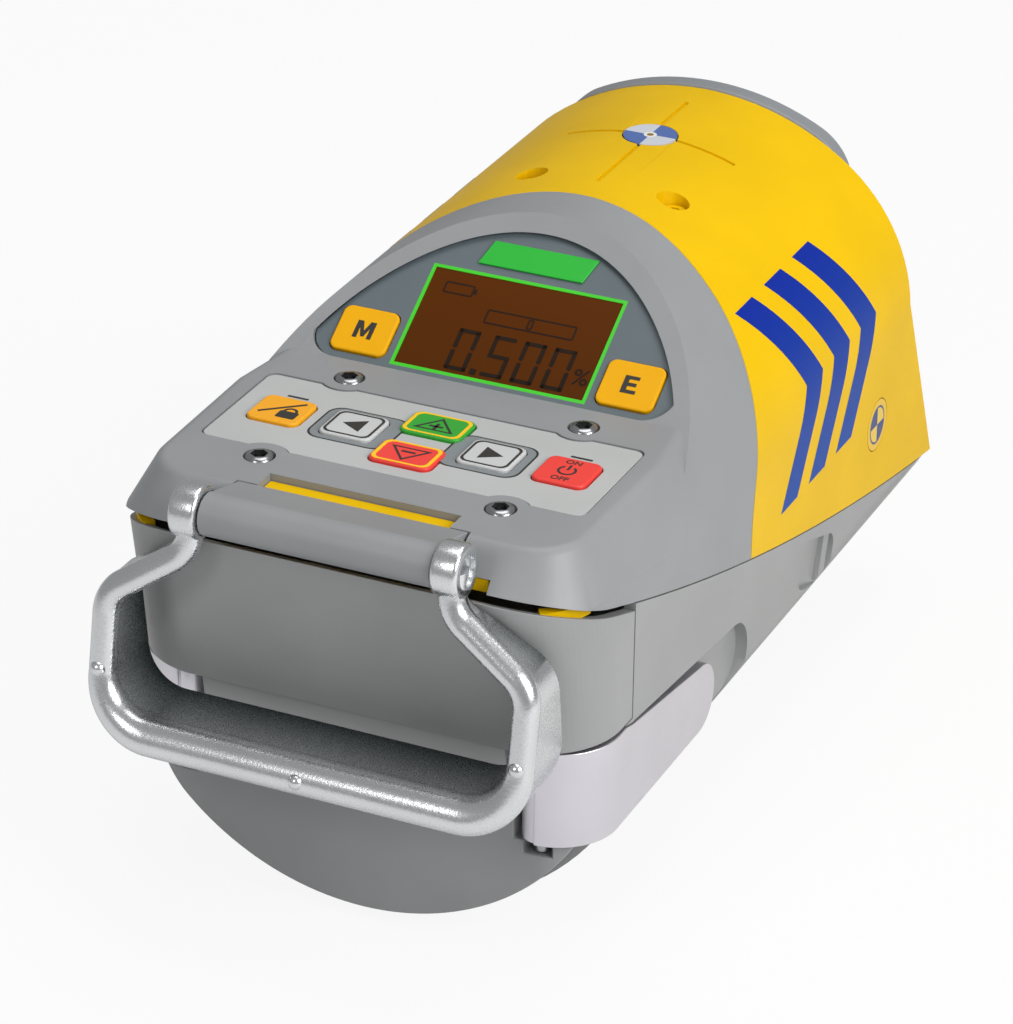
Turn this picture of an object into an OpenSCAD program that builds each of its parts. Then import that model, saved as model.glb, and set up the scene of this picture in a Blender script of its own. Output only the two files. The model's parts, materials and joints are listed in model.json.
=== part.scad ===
// Pipe laser: a sewer alignment laser with an arched housing, a keypad and a
// sloped display, a swinging carry handle and a battery drawer with two side latches.
// Millimetres, Z up. Y runs from the handle end to the beam end, X across.

/* [Housing] */
// Width over the flat side walls
body_w = 122; // [116:0.5:130]
// Height of the arch foot above the ground
arch_z = 79.5; // [76:0.5:83]
// Sideways distance of the centres of the arch shoulders
shoulder_x = 12; // [10:0.5:16]
// Rise of the shoulder centres above the arch foot
shoulder_up = 8; // [5:0.5:9]
// Radius of the round belly
belly_r = 68; // [66:0.5:72]
// Clearance of the belly above the ground
belly_clear = 1; // [0.6:0.1:3]
// Wall thickness of both housing shells
wall = 3; // [2.5:0.25:3.5]
// Radius of the long curved seam between the shells
seam_r = 1150; // [1000:10:1300]
// Drop of the seam below the deck at the front end
seam_drop = 9.3; // [8.5:0.1:10.5]
// Downward slope of the seam at the front end, in degrees
seam_slope = 21.5; // [20:0.25:22.5]
// Gap between the two shells along the seam
seam_gap = 0.4; // [0.3:0.1:0.8]
// Top and lower gap of the front panel under the bezel
front_gap = 2.2; // [1.2:0.1:2.8]
// Distance of the upper far face from the drawer front
face_y = 204.7; // [200:0.5:210]
// Rise of the bend in the far face above the arch foot
face_up = 10.5; // [8:0.5:12]
// Outward lean of the lower far face, in degrees
face_lean = 24; // [20:0.5:28]
// Height of the keel corner at the far end
keel_z = 38; // [34:0.5:42]
// Slope of the keel below the far face, in degrees
keel_slope = 30; // [20:1:40]

/* [Control bezel] */
// Wall thickness of the bezel
bezel_t = 4.5; // [4:0.25:5]
// Gap between bezel and yellow housing
bezel_gap = 0.3; // [0.3:0.05:0.6]
// Wall thickness of the yellow housing under the bezel
under_t = 2.5; // [2:0.25:3]
// Foremost point of the curved bezel edge from the drawer front
edge_y = 94.4; // [92:0.2:97]
// Drop of that point below the arch foot
edge_down = 8.3; // [6:0.1:10]
// Radius of the curved bezel edge in side view
edge_r = 91.8; // [88:0.2:96]
// Drop of the keypad deck below the crown
deck_drop = 28.2; // [27.5:0.1:29]
// Front edge of the keypad deck
deck_front = -5.5; // [-6.5:0.1:-4.5]
// Front of the bezel skirt
bezel_front = -14; // [-15:0.25:-13]
// Drop of the upright band of the skirt below the deck
skirt_drop = 12.8; // [12:0.1:14]
// Inset of the deck edge from the side wall at the front
deck_in_front = 5.5; // [4:0.25:7]
// Inset of the deck edge from the side wall at its middle
deck_in_mid = 4.5; // [3:0.25:6]
// Middle of the deck edge from the drawer front
deck_mid_y = 48; // [44:0.5:52]
// Inset of the deck edge from the side wall at the display
deck_in_rear = 7; // [6:0.25:9]
// Corner radius of the deck
deck_r = 14; // [10:0.5:16]
// Corner radius of the skirt
base_r = 20; // [16:0.5:22]
// Edge rounding of the deck
deck_edge = 3; // [2:0.25:3.5]
// Half width of the finger slot in front of the deck
slot_hw = 24.5; // [20:0.5:26]
// Rear edge of the finger slot
slot_y = 4.5; // [3.5:0.1:5.5]
// Deck edge behind the hinge bar
lip_y = -1.8; // [-2.4:0.1:-1.4]
// Half width of the notches round the hinge hubs
notch_hw = 38.2; // [37.4:0.1:39]
// Rear of the notches round the hinge hubs
notch_y = -2; // [-2.4:0.1:-1.6]
// Drop of the yellow floor of the finger slot below the deck
slot_drop = 1.8; // [1.4:0.1:2.2]

/* [Display] */
// Slope of the display face, in degrees
disp_tilt = 32.7; // [31:0.25:34]
// Line where the display face meets the deck
disp_y = 67.6; // [66.5:0.2:69]
// Width of the rim between the panel and the arch
rim_w = 3.7; // [3:0.1:5]
// Corner radius of the panel beside the deck
panel_corner = 8; // [6:0.25:9]
// Inset of these corners from the arch
corner_in = 2; // [1:0.1:3]
// Depth of the panel surface below the rim
panel_drop = 1.2; // [0.8:0.1:1.4]
// Thickness of the display panel
panel_t = 1.3; // [1:0.1:1.4]
// Inner width of the green frame
win_w = 50.2; // [46:0.2:51]
// Inner height of the green frame
win_h = 28.8; // [26:0.2:29.2]
// Width of the green frame line
frame_w = 0.9; // [0.6:0.1:1.2]
// Lower edge of the green frame up the slope
win_s = 1.9; // [1.6:0.1:2.4]
// Ledge that carries the window
win_ledge = 1.5; // [1:0.1:2]
// Depth of the display module
lcd_depth = 6; // [4:0.5:7]
// Width of the bare badge plate
badge_w = 30; // [26:0.5:34]
// Height of the bare badge plate
badge_h = 7.2; // [6:0.2:7.6]
// Lower edge of the badge plate up the slope
badge_s = 34.7; // [34.2:0.1:35.2]
// Thickness of the badge plate
badge_t = 0.6; // [0.4:0.1:0.8]
// Sideways distance of the menu and enter keys
menu_x = 35.5; // [35:0.25:36]
// Place of the menu and enter keys up the slope
menu_s = 9.3; // [9:0.1:10]

/* [Keypad] */
// Inset of the keypad plate from the side walls
plate_in = 11.6; // [11:0.1:13]
// Front edge of the keypad plate
plate_y0 = 16.3; // [15.5:0.1:17]
// Rear edge of the keypad plate
plate_y1 = 52.9; // [52:0.1:54]
// Thickness of the keypad plate
plate_t = 1; // [0.8:0.1:1.2]
// Depth of the keypad plate below the deck
plate_drop = 0.2; // [0.1:0.05:0.4]
// Corner radius of the keypad plate
plate_r = 2.5; // [1.5:0.25:4]
// Gap round the keypad plate and the display panel
inlay_gap = 0.35; // [0.3:0.05:0.6]
// Width of the square keys
key_w = 13.6; // [12:0.2:14.4]
// Length of the square keys
key_l = 13; // [12:0.2:13.6]
// Width of the plus and minus keys
sign_w = 16; // [14:0.2:17]
// Length of the plus and minus keys
sign_l = 11.4; // [10:0.2:12]
// Corner radius of the keys
key_r = 2.2; // [1.5:0.1:3]
// Height of the keys above the keypad plate
key_rise = 0.8; // [0.7:0.1:1.2]
// Travel of the keys
key_travel = 0.6; // [0.4:0.1:0.7]
// Gap round each key
key_gap = 0.3; // [0.3:0.05:0.4]
// Sideways distance of the lock and power keys
lock_x = 37.2; // [36.8:0.1:38]
// Sideways distance of the arrow keys
arrow_x = 17.9; // [17.6:0.1:18.4]
// Middle line of the key rows
row_y = 34.8; // [34.5:0.1:35.1]
// Distance of the plus and minus keys from the middle line
sign_dy = 8.3; // [8:0.1:8.6]
// Depth of the key stems under the deck
stem_depth = 11.6; // [10.8:0.1:11.8]

/* [Screws] */
// Sideways distance of the bezel screws
screw_x = 31; // [30:0.25:32]
// Front row of bezel screws
screw_y0 = 11.5; // [11:0.1:12]
// Rear row of bezel screws
screw_y1 = 58.4; // [58:0.1:59]
// Head radius of the bezel screws
head_r = 3.6; // [3.2:0.1:4]
// Head height of the bezel screws
head_h = 2.2; // [1.8:0.1:2.4]
// Shank radius of every screw
shank_r = 2; // [1.6:0.1:2.2]
// Clearance round screw shanks
shank_gap = 0.05; // [0.02:0.01:0.1]
// Hex socket size of the screws across corners
hex_d = 4; // [3:0.1:4.4]
// Radius of the screw bosses
boss_r = 5; // [4.4:0.1:6]
// Sideways distance of the crown screws
crown_x = 19.4; // [18.5:0.1:20.5]
// Crown screws from the drawer front
crown_y = 138.5; // [137.5:0.25:140]
// Radius of the crown screw recesses
crown_r = 4.2; // [4.1:0.1:4.6]
// Head radius of the crown screws
crown_head_r = 3.2; // [2.8:0.1:3.5]
// Drop of the lower ends of the crown bosses below the crown
boss_drop = 13.5; // [13:0.25:14]

/* [Aiming marks] */
// Radius of the quartered discs
mark_r = 7; // [6:0.25:8]
// Thickness of the quartered discs
mark_t = 1.6; // [1.2:0.1:2]
// Crown disc from the drawer front
mark_y = 169.4; // [167:0.2:172]
// Side discs from the drawer front
side_mark_y = 183; // [180:0.5:185]
// Height of the side discs
side_mark_z = 64.6; // [62:0.2:66]
// Width of the sighting groove
groove_w = 1.2; // [0.8:0.1:1.6]
// Depth of the sighting groove
groove_d = 0.6; // [0.4:0.1:0.8]
// Start of the sighting groove along the crown
groove_y0 = 135.4; // [134:0.2:137]
// End of the sighting groove along the crown
groove_y1 = 194; // [190:0.5:196]
// Half length of the sighting groove across the crown
groove_x = 23.5; // [20:0.25:26]

/* [Nose] */
// Half width of the nose frame
nose_hw = 41.5; // [38:0.5:44]
// Corner radius of the nose frame
nose_r = 18; // [14:0.5:20]
// Rise of the nose frame above the crown
nose_rise = 0.7; // [0.4:0.1:1.2]
// Height of the nose frame down its face
nose_l = 71; // [66:0.5:74]
// Depth of the nose frame along the beam
nose_h = 5.5; // [5:0.25:8]
// Width of the nose frame round the beam opening
nose_w = 7; // [6:0.25:9]
// Width of the nose frame outside the window glass
glass_in = 3.5; // [3:0.1:4]
// Thickness of the window glass
glass_t = 3; // [2:0.1:3.4]
// Thickness of the window seal
seal_t = 1; // [0.8:0.1:1.2]
// Clearance round the window glass
glass_gap = 0.1; // [0.05:0.01:0.2]
// Gap round the nose frame in its recess
nose_gap = 0.4; // [0.3:0.1:1]

/* [Handle] */
// Hinge line from the drawer front
hinge_y = -17.5; // [-19:0.1:-17]
// Drop of the hinge line below the deck
hinge_drop = 1.3; // [0.8:0.1:2]
// Outward lean of the hanging handle, in degrees
hang = 10.4; // [10:0.1:12]
// Hinge line to the middle of the grip bar
grip_drop = 57; // [55:0.2:59]
// Thickness of the handle legs
strap_t = 6.6; // [6:0.1:7.2]
// Thickness of the grip bar
grip_t = 9.2; // [8.5:0.1:9.8]
// Depth of the neck behind its round front edge
neck_depth = 3; // [2.5:0.1:3.4]
// Depth of the handle where the legs start
leg_depth = 13; // [11:0.1:13.5]
// Depth of the handle at the grip bar
grip_depth = 17.5; // [15:0.1:18]
// Inset of the handle legs from the side walls
leg_in = 7.5; // [6.5:0.25:8.5]
// Length of the straight neck below the hinge
neck_drop = 5; // [4:0.1:6]
// Outward turn of the neck, in degrees
neck_turn = 55; // [45:1:60]
// Bend radius of the neck
bend_r = 9; // [7:0.25:10]
// Corner radius at the ends of the grip bar
grip_r = 14; // [12:0.25:16]
// Rounding of the rear edges of the handle
rear_r = 1.2; // [0.8:0.1:1.6]
// Radius of the pips on the handle front
pip_r = 2; // [1.6:0.1:2.4]
// Depth of the pip centres below the strap front
pip_in = 1; // [0.8:0.1:1.2]
// Hinge line to the pips on the legs
pip_drop = 42; // [38:0.5:43]
// Inner face of the hinge hubs
hub_x0 = 29.6; // [29.4:0.1:29.8]
// Outer face of the hinge hubs
hub_x1 = 36.4; // [36.2:0.1:37]
// Radius of the hinge hubs
hub_r = 6.6; // [6.2:0.1:7]
// Radius of the recess in the outer hub faces
hub_recess_r = 4.1; // [3.6:0.1:4.6]
// Depth of the recess in the outer hub faces
hub_recess = 1.5; // [1:0.1:2]
// Radius of the hinge pin
pin_r = 2.5; // [2:0.1:3]
// Running clearance of hinge and latch pins
run_gap = 0.05; // [0.02:0.01:0.08]
// Side gap between hub and hinge bar
hub_gap = 0.35; // [0.3:0.05:0.5]
// Radius of the hinge bar
bar_r = 5.2; // [4.8:0.1:5.6]
// Drop of the underside of the hinge bar below the deck
bar_drop = 7.1; // [6.8:0.1:7.4]
// Thickness of the lug under the hinge bar
lug_t = 3.2; // [2.8:0.1:3.4]
// Half width of that lug
lug_hw = 37.6; // [37:0.1:37.8]
// Front of that lug
lug_y = -9; // [-9.4:0.1:-8]

/* [Front and drawer] */
// Lean of the front panel, in degrees
front_lean = 10.5; // [9:0.25:12]
// Front of the panel at the height of the seam
front_y = -13.5; // [-14:0.1:-13]
// Corner radius of the front panel
front_r = 20; // [16:0.5:22]
// Lower edge of the front panel
panel_z = 60; // [59.8:0.1:61]
// Thickness of the floor of the front panel
floor_t = 2.4; // [2:0.1:3]
// Inset of the apron behind the front of the panel
apron_in = 2; // [1.5:0.1:2.5]
// Rear edge of the front panel on the side walls
panel_y = 21; // [19:0.25:23]
// Gap between front panel, drawer and lower housing
panel_gap = 0.4; // [0.3:0.05:0.6]
// Depth of the drawer cap
cap_d = 12; // [11.5:0.1:12.5]
// Radius of the drawer cap round the belly centre
cap_r = 65.5; // [65:0.1:66]
// Top edge of the drawer cap
cap_z = 33.5; // [32.5:0.1:34.5]
// Corner radius of the drawer cap and the latches
cap_corner = 15; // [13:0.5:16]
// Top edge of the drawer face between the latches
drawer_z = 48.8; // [48.4:0.1:49]
// Gap above the drawer face
drawer_gap = 0.5; // [0.4:0.1:0.8]
// Side wall of the battery tray beside the cells
tray_wall = 6; // [4:0.1:6.2]
// End wall of the battery tray behind the cells
tray_end = 2.8; // [2:0.1:4]
// Top of the battery tray
tray_z = 47; // [46:0.25:48]
// Gap round the battery tray
tray_gap = 0.3; // [0.3:0.05:0.4]
// Underside of the battery bay roof
bay_z = 49; // [48.8:0.1:49.5]
// Free length behind the battery tray
bay_slack = 4; // [3:0.25:6]
// Front wall of the battery tray before the cells
tray_front = 4; // [3.5:0.1:5]
// Radius of a battery cell
cell_r = 16.6; // [16.2:0.1:16.8]
// Length of a battery cell
cell_l = 60.5; // [60:0.1:61]
// Half of the wall between the two rows of cells
cell_wall = 1.1; // [1:0.1:2]
// Height of the battery cells
cell_z = 28.8; // [28.6:0.1:29.6]
// End gap between two cells in a row
cell_slack = 0.2; // [0.1:0.05:0.4]
// Clearance of the cells in the tray
cell_gap = 0.1; // [0.05:0.01:0.15]
// Thickness of the battery contacts
contact_t = 2; // [1.6:0.1:2.2]
// Radius of the battery contacts
contact_r = 11; // [8:0.5:13]
// Width of the drawer seal
seal_w = 1.6; // [1.2:0.1:2]
// Depth of the drawer seal in the tray
seal_d = 1.5; // [1:0.1:1.8]

/* [Latches] */
// Inset of the latch pins from the side walls
latch_in = 14.4; // [14:0.1:15]
// Front of the latches from the drawer front
latch_front = -2; // [-2.4:0.1:-1.6]
// Latch pins behind the front of the latches
latch_back = 5.4; // [5.2:0.1:5.8]
// Lower end of the latch pins below the drawer cap edge
pin_foot = 3; // [2:0.1:3.5]
// Radius of the latch pins
latch_pin_r = 2; // [1.6:0.1:2.2]
// Radius of the latch barrels
barrel_r = 5; // [4.4:0.1:5.1]
// Thickness of the latch plates
latch_t = 3; // [2.4:0.1:3.1]
// Rise of the latch plates above the wall
latch_rise = 0.3; // [0:0.1:0.6]
// Gap behind the latch plates
latch_gap = 0.4; // [0.3:0.05:0.5]
// Lower edge of the latches
latch_z0 = 34.2; // [34:0.1:35]
// Upper edge of the latches at the front
latch_z1 = 59.3; // [58.8:0.1:59.4]
// Upper edge of the latches at the rear
latch_z2 = 52.4; // [51.5:0.1:53]
// Rear end of the latches
latch_end = 72; // [68:0.5:76]
// Length of the finger recess behind the latches
finger_l = 22; // [18:0.5:26]
// Rear catch recess from the drawer front
catch_y = 141; // [138:0.5:144]
// Height of the rear catch recess
catch_z = 44; // [42:0.5:46]
// Length of the rear catch recess
catch_l = 24; // [20:0.5:28]
// Height of the rear catch recess
catch_h = 13; // [10:0.5:14]
// Depth of the rear catch recess
catch_d = 1.6; // [1:0.1:2]

/* [Feet] */
// Sideways distance of the foot pads
foot_x = 24; // [20:0.5:25]
// Front foot pads from the drawer front
foot_y0 = 50; // [46:0.5:56]
// Rear foot pads from the drawer front
foot_y1 = 170; // [160:0.5:175]
// Radius of the foot pads
foot_r = 7; // [6.5:0.1:8]
// Radius of the leg sockets
socket_r = 3.4; // [3:0.1:4]
// Depth of the leg sockets
socket_d = 7; // [6:0.25:7.2]

/* [Inside] */
// Drop of the frame plate that carries the optics below the crown
frame_drop = 19.5; // [19:0.25:20]
// Thickness of the frame plate
frame_t = 4; // [3:0.25:4]
// Half width of the frame plate
frame_hw = 27; // [25:0.5:29]
// Front edge of the frame plate
frame_y0 = 129; // [127:0.5:131]
// Rear edge of the frame plate
frame_y1 = 178; // [176:0.5:180]
// Rear frame post from the drawer front
post_y = 172; // [170:0.5:172.5]
// Swing axis of the laser from the drawer front
swing_y = 153; // [151:0.5:155]
// Drop of the grade axis of the laser below the crown
grade_drop = 47.5; // [46.5:0.25:48.5]
// Radius of the laser tube
tube_r = 14; // [12:0.25:14.5]
// Half length of the laser tube
tube_hl = 38; // [34:0.5:40]
// Half width of the gimbal yoke
yoke_hw = 27; // [26:0.25:28]
// Thickness of the gimbal yoke arms
yoke_t = 5; // [4:0.25:6]
// Half length of the gimbal yoke along the beam
yoke_hl = 8; // [7:0.25:9]
// Drop of the underside of the gimbal yoke bridge below the crown
bridge_drop = 26.5; // [26:0.25:27]
// Radius of the swing and grade shafts
shaft_r = 3; // [2.5:0.1:3.5]
// Radius of the drive motors
motor_r = 9; // [8:0.25:9.5]
// Length of the line motor
line_l = 10; // [9:0.25:10.5]
// Length of the grade motor
grade_l = 16; // [13:0.5:18]
// Depth of the shafts in the motors
shaft_in = 5; // [4:0.25:6]
// Radius of the laser lens
lens_r = 11; // [9:0.25:11.5]
// Thickness of the laser lens
lens_t = 3; // [2.5:0.25:4]
// Thickness of the circuit boards
board_t = 1.6; // [1.2:0.1:2]
// Drop of the upper face of the main board below the deck
board_drop = 13.3; // [12.9:0.1:13.7]
// Inset of the main board from the side walls
board_in = 19; // [17:0.5:23]
// Front edge of the main board
board_y0 = 7; // [5:0.25:7.2]
// Rear edge of the main board
board_y1 = 63; // [62.8:0.1:64]

/* [Hidden] */
// Facets of round shapes
$fn = 96;
// Length that reaches past the whole object
big = 400;
// Small overlap of cutting shapes
cut = 1;
// Half width over the side walls
half_w = body_w / 2;
// Height of the crown above the ground
top_z = arch_z + half_w;
// Radius of the arch shoulders
shoulder_r = half_w - shoulder_x;
// Height of the centres of the arch shoulders
shoulder_z = arch_z + shoulder_up;
// Rise of the crown above the shoulder centres
dome_up = half_w - shoulder_up;
// Radius of the flatter dome over the shoulders
dome_r = (pow(shoulder_x, 2) + pow(dome_up, 2) - pow(shoulder_r, 2)) / (2 * (dome_up - shoulder_r));
// Height of the centre of the dome
dome_z = top_z - dome_r;
// Overlap of shoulders and dome
blend = 0.02;
// Height of the keypad deck
deck_z = top_z - deck_drop;
// Top of the upright band of the skirt
skirt_z = deck_z - skirt_drop;
// Height of the foremost point of the bezel edge
edge_z = arch_z - edge_down;
// Height of the bend in the far face
face_break = arch_z + face_up;
// Keel corner from the drawer front
keel_y = face_y + (face_break - keel_z) * tan(face_lean);
// Height of the belly centre
belly_z = belly_r + belly_clear;
// Start of the seam along the body
seam_y = -12;
// Height of the seam at its start
seam_z = deck_z - seam_drop;
// Centre of the seam arc along the body
seam_cy = seam_y + seam_r * sin(seam_slope);
// Centre of the seam arc above the ground
seam_cz = seam_z + seam_r * cos(seam_slope);
// Inset of the yellow housing under the bezel
under_in = bezel_t + bezel_gap;
// Inset of the hollow under the bezel
hollow_in = under_in + under_t;
// Half width of the display panel beside the deck
panel_hw = shoulder_x + sqrt(pow(shoulder_r - rim_w, 2) - pow(deck_z - shoulder_z, 2)) - corner_in;
// Depth of the display recess below the rim
panel_depth = panel_drop + panel_t;
// Depth of the keypad recess below the deck
plate_depth = plate_drop + plate_t;
// Outer half width of the green frame
frame_hx = win_w / 2 + frame_w;
// Top of the square-ended keys on the display panel
menu_top = key_rise - panel_drop;
// Top of the keys above the deck
key_top = key_rise - plate_drop;
// Half width of the keypad plate
plate_hw = half_w - plate_in;
// Height of the hinge line
hinge_z = deck_z - hinge_drop;
// Underside of the hinge bar
bar_z = deck_z - bar_drop;
// Sideways place of the handle neck, in the middle of the hub
neck_x = (hub_x0 + hub_x1) / 2;
// Sideways place of the handle legs
leg_x = half_w - leg_in;
// Sideways run of the slanted neck between its bends
neck_run = leg_x - neck_x - 2 * bend_r * (1 - cos(neck_turn));
// Start of the straight legs below the hinge line
leg_drop = neck_drop + 2 * bend_r * sin(neck_turn) + neck_run / tan(neck_turn);
// Start of the grip corners below the hinge line
corner_drop = grip_drop - grip_r;
// Steps of the round front edge of the handle
bead_n = 12;
// Points in one section of the handle
ring_n = bead_n + 5;
// Sideways place of the corner centres of the nose frame
nose_x = nose_hw - nose_r;
// Height of the corner centres of the nose frame
nose_z = dome_z + sqrt(pow(dome_r + nose_rise - nose_r, 2) - pow(nose_x, 2));
// Lower edge of the nose frame
nose_z0 = top_z + nose_rise - nose_l;
// Foremost point of the handle pips
fore_y = hinge_y - grip_drop * sin(hang) - (grip_t / 2 - pip_in) - pip_r;
// Rearmost point of the body
rear_y = keel_y;
// Middle of the object along the beam, taken as origin
mid_y = (fore_y + rear_y) / 2;
// Outer radius of the battery tray round the belly centre
tray_r = belly_r - wall - tray_gap;
// Sideways distance of the battery cells
cell_x = cell_r + cell_wall;
// Half width of the battery tray
tray_hw = cell_x + cell_r + tray_wall;
// First cell from the drawer front
cell_y = cap_d + tray_front + contact_t;
// Length of the cell troughs
trough_l = 2 * (cell_l + contact_t) + cell_slack;
// Length of the battery tray
tray_l = tray_front + trough_l + tray_end;
// Rear end of the battery bay
bay_y = cap_d + tray_l + bay_slack;
// Sideways place of the latch pins
latch_x = half_w - latch_in;
// Latch pins from the drawer front
latch_y = latch_front + latch_back;
// Half width of the drawer face between the latches
strip_hw = latch_x - latch_back - latch_rise - latch_gap;
// Half width of the apron of the front panel
apron_hw = strip_hw - cut;
// Width of the grooves for the pin feet
foot_groove = 2 * latch_pin_r + 3;
// Depth of the latch pockets in the lower housing
pocket_in = latch_t - latch_rise + latch_gap;
// Underside of the frame plate
plate_z = top_z - frame_drop;
// Height of the grade axis
grade_z = top_z - grade_drop;
// Underside of the yoke bridge
bridge_z = top_z - bridge_drop;
// Lower end of the crown bosses
crown_boss_z = top_z - boss_drop;
// Upper face of the main board
board_z = deck_z - board_drop;
// Half width of the main board
board_hw = half_w - board_in;
// Upper face of the frame plate
frame_z = plate_z + frame_t;
// Floor of the crown screw recesses
crown_floor = crown_boss_z + 5;

// Names of the sub-parts
// Sub-part to draw

// Shared placing and shaping helpers

// Moves the body so that the middle of its length is the origin
module placed() {
  translate([0, -mid_y, 0])
    children();
}

// Extrudes a drawing in x and z along Y
module along_y(y0, y1) {
  translate([0, y1, 0])
    rotate([90, 0, 0])
      linear_extrude(height = y1 - y0)
        children();
}

// Extrudes a drawing in y and z along X
module along_x(x0, x1) {
  translate([x0, 0, 0])
    rotate([90, 0, 90])
      linear_extrude(height = x1 - x0)
        children();
}

// Repeats a shape on the left
module both_sides() {
  children();
  mirror([1, 0, 0])
    children();
}

// Block centred on x and y with its lower face at z
module block(x, y, z, w, l, h) {
  translate([x - w / 2, y - l / 2, z])
    cube([w, l, h]);
}

// Rod along X
module rod_x(x0, x1, y, z, r) {
  translate([x0, y, z])
    rotate([0, 90, 0])
      cylinder(r = r, h = x1 - x0);
}

// Rod along Y
module rod_y(x, y0, y1, z, r) {
  translate([x, y0, z])
    rotate([-90, 0, 0])
      cylinder(r = r, h = y1 - y0);
}

// Upright rod
module rod_z(x, y, z0, z1, r) {
  translate([x, y, z0])
    cylinder(r = r, h = z1 - z0);
}

// Rectangle with round corners, centred
module round_rect(w, l, r) {
  square([w - 2 * r, l], center = true);
  square([w, l - 2 * r], center = true);
  for (sx = [-1, 1])
    for (sy = [-1, 1])
      translate([sx * (w / 2 - r), sy * (l / 2 - r)])
        circle(r = r, $fn = 32);
}

// Frame of the display face: x across, y up the slope, z out of the face
module disp_frame() {
  translate([0, disp_y, deck_z])
    rotate([disp_tilt, 0, 0])
      children();
}

// Space beyond the far face, moved inward by inset
module beyond_face(inset) {
  intersection() {
    translate([-big / 2, face_y - inset, -big / 2])
      cube([big, big, big]);
    translate([0, face_y, face_break])
      rotate([face_lean, 0, 0])
        translate([-big / 2, -inset, -big / 2])
          cube([big, big, big]);
  }
}

// Space behind the curved bezel edge, moved back by off
module behind_edge(off) {
  rod_x(-half_w - 10, half_w + 10, edge_y + edge_r, edge_z, edge_r - off);
  translate([-big / 2, edge_y + edge_r, -big / 2])
    cube([big, big, big]);
}

// Space above the curved seam, grown by extra
module seam_bowl(extra) {
  translate([-half_w - 10, seam_cy, seam_cz])
    rotate([0, 90, 0])
      cylinder(r = seam_r + extra, h = body_w + 20, $fn = 720);
}

// Outline with upright walls and round shoulders under a flatter dome
module arch_outline(hw, x, z, r, top_r, inset) {
  tangent_x = x * (top_r - inset) / (top_r - r);
  translate([inset - hw, 20])
    square([2 * (hw - inset), z - 20]);
  intersection() {
    translate([0, dome_z])
      circle(r = top_r - inset);
    union() {
      for (s = [-1, 1])
        translate([s * (x - blend), z])
          circle(r = r - inset + blend);
      translate([-tangent_x, z - 1])
        square([2 * tangent_x, big]);
    }
  }
}

// Section of the arched body
module arch_section(inset) {
  arch_outline(half_w, shoulder_x, shoulder_z, shoulder_r, dome_r, inset);
}

// Arched body from the keypad to the far face
module arch_body(inset) {
  difference() {
    along_y(40, keel_y + cut)
      arch_section(inset);
    disp_frame()
      translate([-big / 2, -big / 2, -inset])
        cube([big, big, big]);
    beyond_face(inset);
  }
}

// Disc with a rounded upper edge
module deck_disc(r, edge) {
  rotate_extrude($fn = 48) {
    square([r - edge, edge]);
    intersection() {
      translate([r - edge, 0])
        circle(r = edge, $fn = 32);
      square([r, edge]);
    }
  }
}

// Front body under the keypad deck
module front_body(inset) {
  edge = max(deck_edge - inset, 0.6);
  corner = max(deck_r - inset, 2);
  hw = half_w - inset;
  hull() {
    for (s = [-1, 1]) {
      translate([s * (hw - deck_in_front - corner), deck_front + inset + corner, deck_z - inset - edge])
        deck_disc(corner, edge);
      translate([s * (hw - deck_in_mid - edge - 2), deck_mid_y, deck_z - inset - edge])
        deck_disc(edge + 2, edge);
      translate([s * (hw - deck_in_rear - edge - 2), disp_y - 2, deck_z - inset - edge])
        deck_disc(edge + 2, edge);
      translate([s * (half_w - base_r), bezel_front + base_r, panel_z])
        cylinder(r = base_r - inset, h = skirt_z - panel_z - inset, $fn = 64);
      translate([s * (hw - 0.5) - 0.5, disp_y + 4, panel_z])
        cube([1, 1, shoulder_z - panel_z]);
      translate([s * (hw - 1.4) - 0.5, disp_y + 4, panel_z])
        cube([1, 1, skirt_z - panel_z - 3]);
    }
  }
}

// Housing parts

// Yellow upper shell
module upper_housing() {
  color("#EEC81A")
    placed()
      difference() {
        union() {
          difference() {
            intersection() {
              union() {
                intersection() {
                  arch_body(0);
                  behind_edge(0);
                }
                arch_body(under_in);
                front_body(under_in);
              }
              seam_bowl(0);
            }
            shell_hollow();
          }
          hinge_lug();
          board_bosses();
          crown_bosses();
        }
        shell_openings();
        sighting_groove();
      }
}

// Hollow of the yellow shell
module shell_hollow() {
  difference() {
    union() {
      arch_body(hollow_in);
      front_body(hollow_in);
      intersection() {
        arch_body(wall);
        behind_edge(wall);
      }
    }
    window_pocket(wall);
  }
}

// Recess of the far face for the nose frame, grown by grow
module window_pocket(grow) {
  hw = nose_hw + nose_gap + grow;
  translate([-hw, face_y - grow, nose_z0 - nose_gap - grow])
    cube([2 * hw, big, big]);
}

// Lug under the bezel that carries the hinge bar and fills the finger slot
module hinge_lug() {
  translate([-lug_hw, lug_y, bar_z - lug_t])
    cube([2 * lug_hw, slot_y - lug_y, lug_t]);
  translate([bezel_gap - slot_hw, lip_y, bar_z - lug_t])
    cube([2 * (slot_hw - bezel_gap), slot_y - bezel_gap - lip_y, deck_z - slot_drop - bar_z + lug_t]);
}

// Bosses for the bezel screws and the main board
module board_bosses() {
  both_sides()
    for (y = [screw_y0, screw_y1])
      rod_z(screw_x, y, board_z, deck_z - hollow_in + cut, boss_r);
}

// Bosses for the crown screws and the rear frame post
module crown_bosses() {
  intersection() {
    union() {
      both_sides()
        rod_z(crown_x, crown_y, crown_boss_z, big, boss_r + 2);
      rod_z(0, post_y, crown_boss_z, big, boss_r);
    }
    arch_body(wall / 2);
  }
}

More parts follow.
